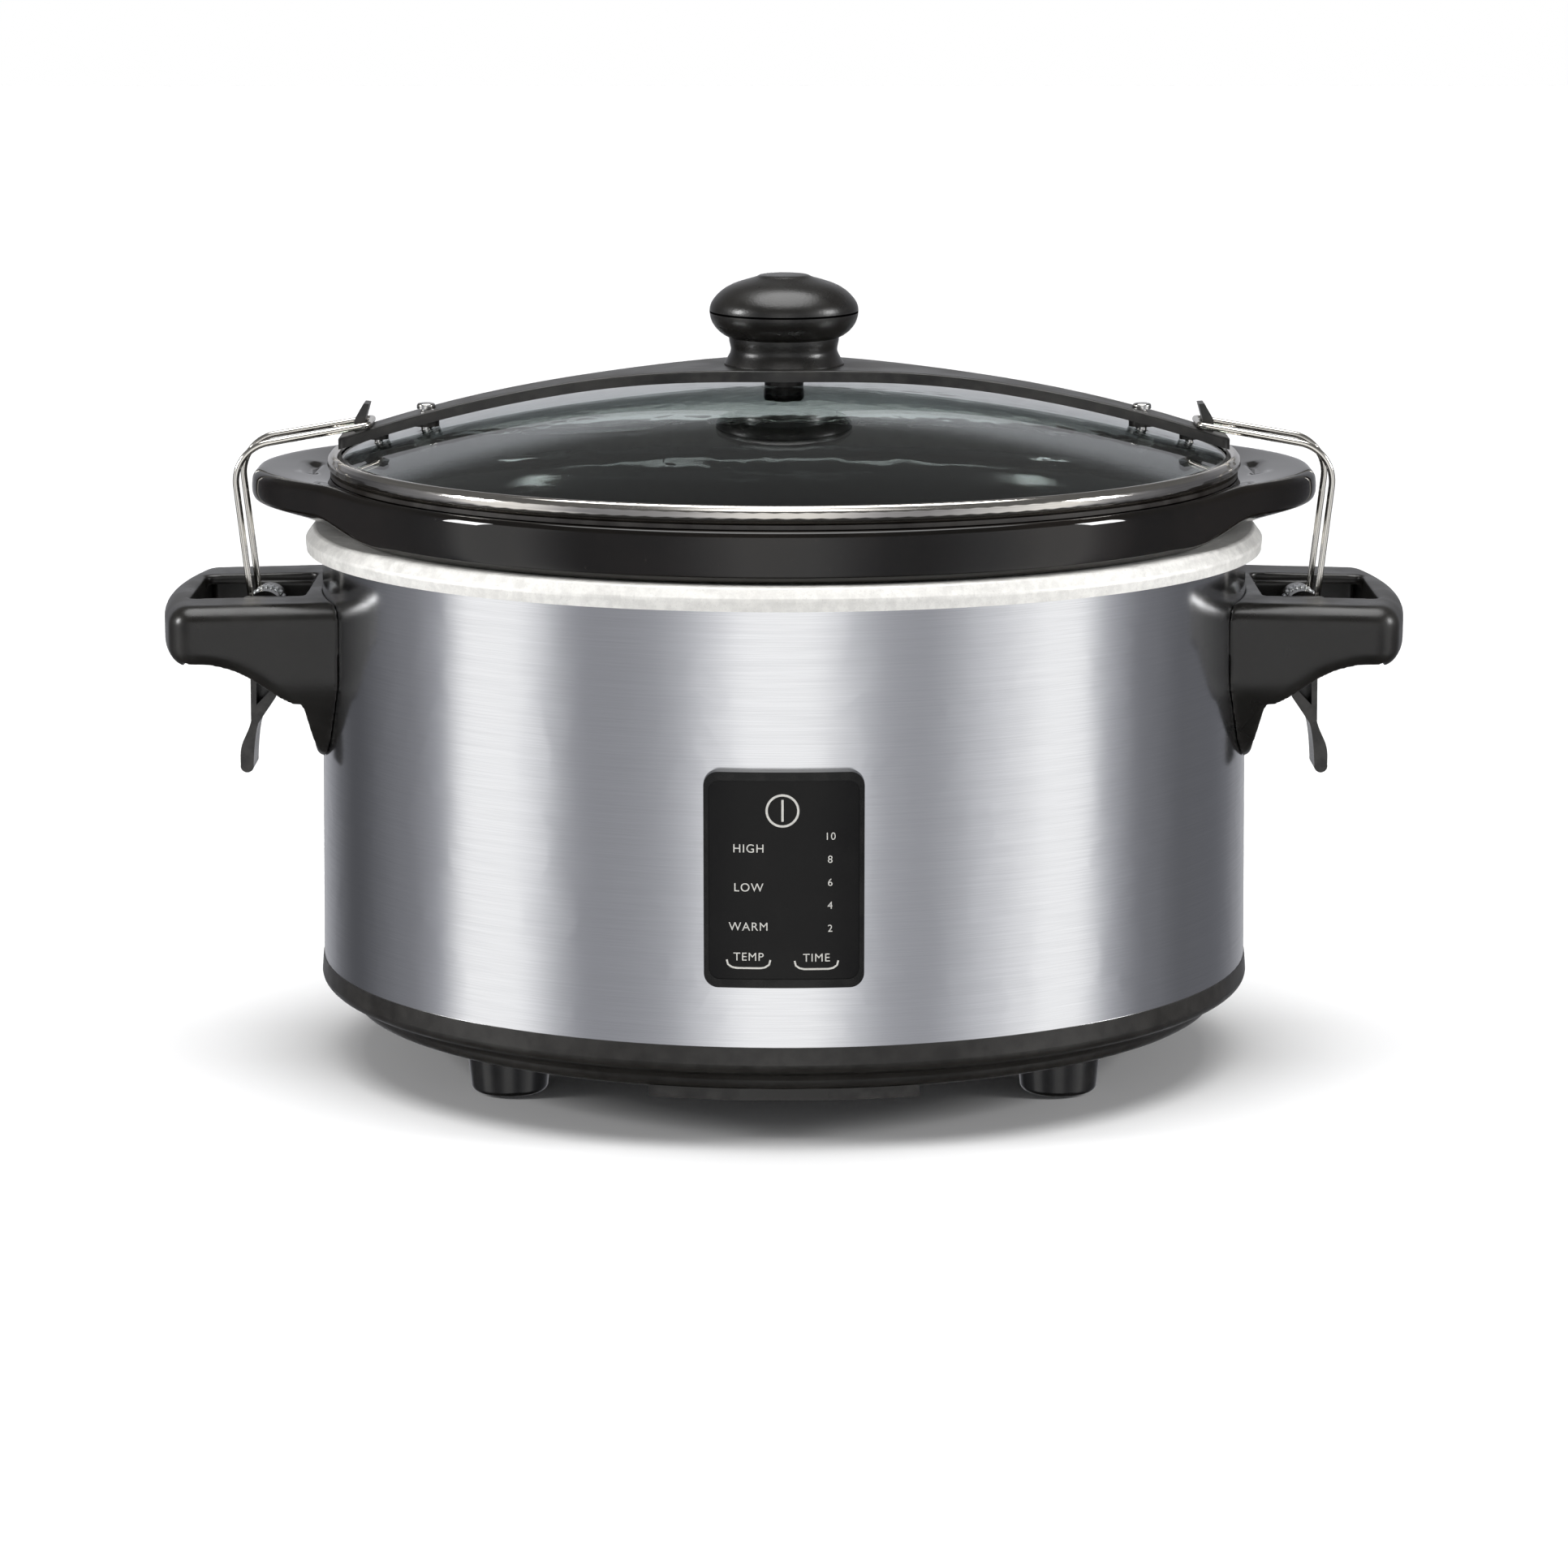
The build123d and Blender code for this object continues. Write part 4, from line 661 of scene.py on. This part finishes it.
# ---- lid ----------------------------------------------------------------------------------------
# A dome of tempered glass is held in a rolled stainless rim over a dark silicone gasket. It is clear
# with the faint green of soda-lime glass.
clear_glass, tree, into = new_material("clear_glass", Roughness=0.0, IOR=1.5, Transmission_Weight=1.0)
smear = noise(tree, place_on(tree), 30.0, detail=3.0)
tree.links.new(blend_colour(tree, fade(tree, smear, 0.3, 0.7), (0.80, 0.87, 0.86), (0.84, 0.90, 0.89)),
               into["Base Color"])
dress(["lid_glass"], clear_glass)

rolled_steel, tree, into = new_material("rolled_steel", Metallic=1.0)
level = use_group(tree, brushed_lines, Line_Width=0.0003, Line_Length=0.06)
worn = use_group(tree, worn_edges, Spread=0.08, Amount=0.4)
steel = blend_colour(tree, fade(tree, level["Tone"], 0.3, 0.7), (0.62, 0.59, 0.55), (0.74, 0.71, 0.66))
tree.links.new(blend_colour(tree, worn["Mask"], steel, (0.9, 0.89, 0.87)), into["Base Color"])
tree.links.new(fade(tree, level["Tone"], 0.3, 0.7, low=0.14, high=0.08), into["Roughness"])
add_bump(tree, into, level["Height"], 0.000002)
dress(["lid_rim"], rolled_steel)

gasket = moulding("gasket_silicone", (0.016, 0.013, 0.011), (0.030, 0.026, 0.022),
                  0.28, 0.5, 0.0006, 0.00004, Specular_IOR_Level=0.5)
dress(["lid_gasket", "bar_washers"], gasket)

# ---- strap and its fasteners --------------------------------------------------------------------
# A long moulded strap arches over the glass. It stands on two posts and a hub, and its hooked ends
# take the wire bails. Slotted plated screws hold it, with nuts and small screws under the glass.
strap_moulding = moulding("strap_moulding", (0.016, 0.0155, 0.0145), (0.024, 0.0225, 0.021),
                          0.30, 0.42, 0.0010, 0.000035, Specular_IOR_Level=0.5)
dress(["lid_bar"], strap_moulding)

bright_plate, tree, into = new_material("bright_plate", Metallic=1.0)
level = use_group(tree, brushed_lines, Line_Width=0.0002, Line_Length=0.002)
tree.links.new(blend_colour(tree, level["Tone"], (0.60, 0.59, 0.57), (0.86, 0.85, 0.83)),
               into["Base Color"])
tree.links.new(fade(tree, level["Tone"], 0.3, 0.7, low=0.22, high=0.12), into["Roughness"])
dress(["bar_screws", "bar_nuts", "hook_screws", "latch_pins"], bright_plate)

# ---- knob ---------------------------------------------------------------------------------------
# The knob is two phenolic shells: a waisted body and a domed cap pressed on at the seam. One screw
# comes up through the glass and the strap from a slotted plastic nut.
knob_moulding = moulding("knob_moulding", (0.0085, 0.0078, 0.0068), (0.0115, 0.0105, 0.0092),
                         0.25, 0.34, 0.0007, 0.00005)
dress(["knob_body", "knob_cap"], knob_moulding)

# A fine line of painted shade stands for the gap where the cap meets the body, and its reflection is taken
# out so that nothing shines in it.
SEAM_HALF = 0.00028
KNOB_SHINE = 0.6
seam = nodes["knob_body"].matrix_world.inverted() @ Vector((0.0, 0.0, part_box("knob_cap")[0].z))
tree = knob_moulding.node_tree
into = tree.nodes["Principled BSDF"].inputs
parts = add_node(tree, "ShaderNodeSeparateXYZ")
tree.links.new(place_on(tree), parts.inputs[0])
from_seam = calc(tree, "ABSOLUTE", calc(tree, "SUBTRACT", parts.outputs["Z"], seam.z))
clear_of_seam_shade = fade(tree, from_seam, SEAM_HALF, SEAM_HALF * 1.6)
surface = into["Base Color"].links[0].from_socket
# Painted shade: the seam line is near black and has no reflection.
tree.links.new(blend_colour(tree, clear_of_seam_shade, grey(0.0008), surface), into["Base Color"])
tree.links.new(calc(tree, "MULTIPLY", clear_of_seam_shade, KNOB_SHINE), into["Specular IOR Level"])

screw_low, screw_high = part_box("knob_screw")
NUT_R = (screw_high.x - screw_low.x) / 2
NUT_THICK = 0.0034
SHANK_R = 0.0024
FLUTES = 12
FLUTE_DEPTH = 0.0012
NUT_STEPS = 144
nut_profile = [(0.0030, 0.0006), (0.0032, 0.0), (0.85 * NUT_R, 0.0), (0.96 * NUT_R, 0.0005),
               (NUT_R, 0.0014), (NUT_R, NUT_THICK - 0.0003),
               (NUT_R - 0.0004, NUT_THICK), (SHANK_R + 0.0004, NUT_THICK),
               (SHANK_R, NUT_THICK + 0.0004), (SHANK_R, screw_high.z - screw_low.z - 0.0004),
               (SHANK_R - 0.0005, screw_high.z - screw_low.z)]
nut_rings = []
for radius, up in nut_profile:
    ring = []
    for number in range(NUT_STEPS):
        angle = math.tau * number / NUT_STEPS
        flute = 0.5 - 0.5 * math.cos(FLUTES * angle)
        cut = FLUTE_DEPTH * flute ** 3 if radius > 0.8 * NUT_R else 0.0
        ring.append(((radius - cut) * math.cos(angle), (radius - cut) * math.sin(angle), screw_low.z + up))
    nut_rings.append(ring)
nut_mesh = skin(nut_rings)
knob_nut = add_piece("knob_nut", nut_mesh, foot_moulding, "lid")
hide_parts("knob_screw")

# ---- handles ------------------------------------------------------------------------------------
# Each handle is one deep phenolic moulding screwed to the shell. Every edge is softened by the
# mould, and it is hollow below, with a slot on top that the lever and wire come up through.
SOFTEN_CELL = 0.0007
SOFTEN_PASSES = 7
handle_moulding = moulding("handle_moulding", (0.0085, 0.0078, 0.0068), (0.0115, 0.0105, 0.0092),
                           0.27, 0.38, 0.0008, 0.000022, Specular_IOR_Level=0.5)


def soften(name, cell, passes):
    """Round a CAD node's edges as a mould does, with an even skin of small cells smoothed out."""
    even = nodes[name].modifiers.new("even_skin", "REMESH")
    even.mode = "VOXEL"
    even.voxel_size = cell
    even.use_smooth_shade = True
    rounded = nodes[name].modifiers.new("rounded_edges", "SMOOTH")
    rounded.factor = 0.5
    rounded.iterations = passes


for side in ("left", "right"):
    soften(f"handle_{side}", SOFTEN_CELL, SOFTEN_PASSES)
dress(["handle_left", "handle_right"], handle_moulding)

# ---- latch levers -------------------------------------------------------------------------------
# Each lever is a glossy moulded arm on a pin inside the handle, with a thumb paddle that hangs below.
# A ribbed metal sleeve on its hub shows through the handle's slot, between the legs of the wire.
lever_moulding = moulding("lever_moulding", (0.009, 0.0085, 0.008), (0.013, 0.012, 0.011),
                          0.16, 0.26, 0.0010, 0.00001, Specular_IOR_Level=0.5)
dress(["latch_lever_left", "latch_lever_right"], lever_moulding)
SLEEVE_R = 0.0067
SLEEVE_HALF = 0.0036
SLEEVE_BORE = 0.0016
SLEEVE_CHAMFER = 0.0007
SLEEVE_RIBS = 22
SLEEVE_STEPS = SLEEVE_RIBS * 8
RIB_DEPTH = 0.0005
PIN_R = 0.00125
# Each ring of a sleeve is its radius, and its place along the pin as a share of the half length.
SLEEVE_PROFILE = [(SLEEVE_BORE, -1.0), (SLEEVE_R - SLEEVE_CHAMFER, -1.0), (SLEEVE_R, -0.86),
                  (SLEEVE_R, 0.86), (SLEEVE_R - SLEEVE_CHAMFER, 1.0), (SLEEVE_BORE, 1.0)]
pin_low, pin_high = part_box("latch_pins")
sleeve_z = (pin_low.z + pin_high.z) / 2
for side, sleeve_x in (("left", pin_low.x + PIN_R), ("right", pin_high.x - PIN_R)):
    sleeve_rings = []
    for radius, along in SLEEVE_PROFILE:
        ring = []
        for number in range(SLEEVE_STEPS):
            angle = math.tau * number / SLEEVE_STEPS
            rib = RIB_DEPTH * (0.5 + 0.5 * math.cos(SLEEVE_RIBS * angle)) if radius > SLEEVE_BORE else 0.0
            ring.append((sleeve_x + (radius - rib) * math.cos(angle), along * SLEEVE_HALF,
                         sleeve_z + (radius - rib) * math.sin(angle)))
        sleeve_rings.append(ring)
    add_piece(f"lever_sleeve_{side}", skin(sleeve_rings), zinc_plate, f"lever_{side}")

# ---- wire bails ---------------------------------------------------------------------------------
# Each bail is one length of bright stainless wire, drawn, bent cold into a hooked loop and sprung
# into the lever by its two turned ends. It has only drawing marks.
drawn_wire, tree, into = new_material("drawn_wire", Metallic=1.0)
level = use_group(tree, brushed_lines, Line_Width=0.0015, Line_Length=0.0004)
tree.links.new(blend_colour(tree, level["Tone"], (0.74, 0.71, 0.65), (0.90, 0.87, 0.80)),
               into["Base Color"])
tree.links.new(fade(tree, level["Tone"], 0.3, 0.7, low=0.17, high=0.09), into["Roughness"])
add_bump(tree, into, level["Height"], 0.000003)
dress(["wire_bail_left", "wire_bail_right"], drawn_wire)
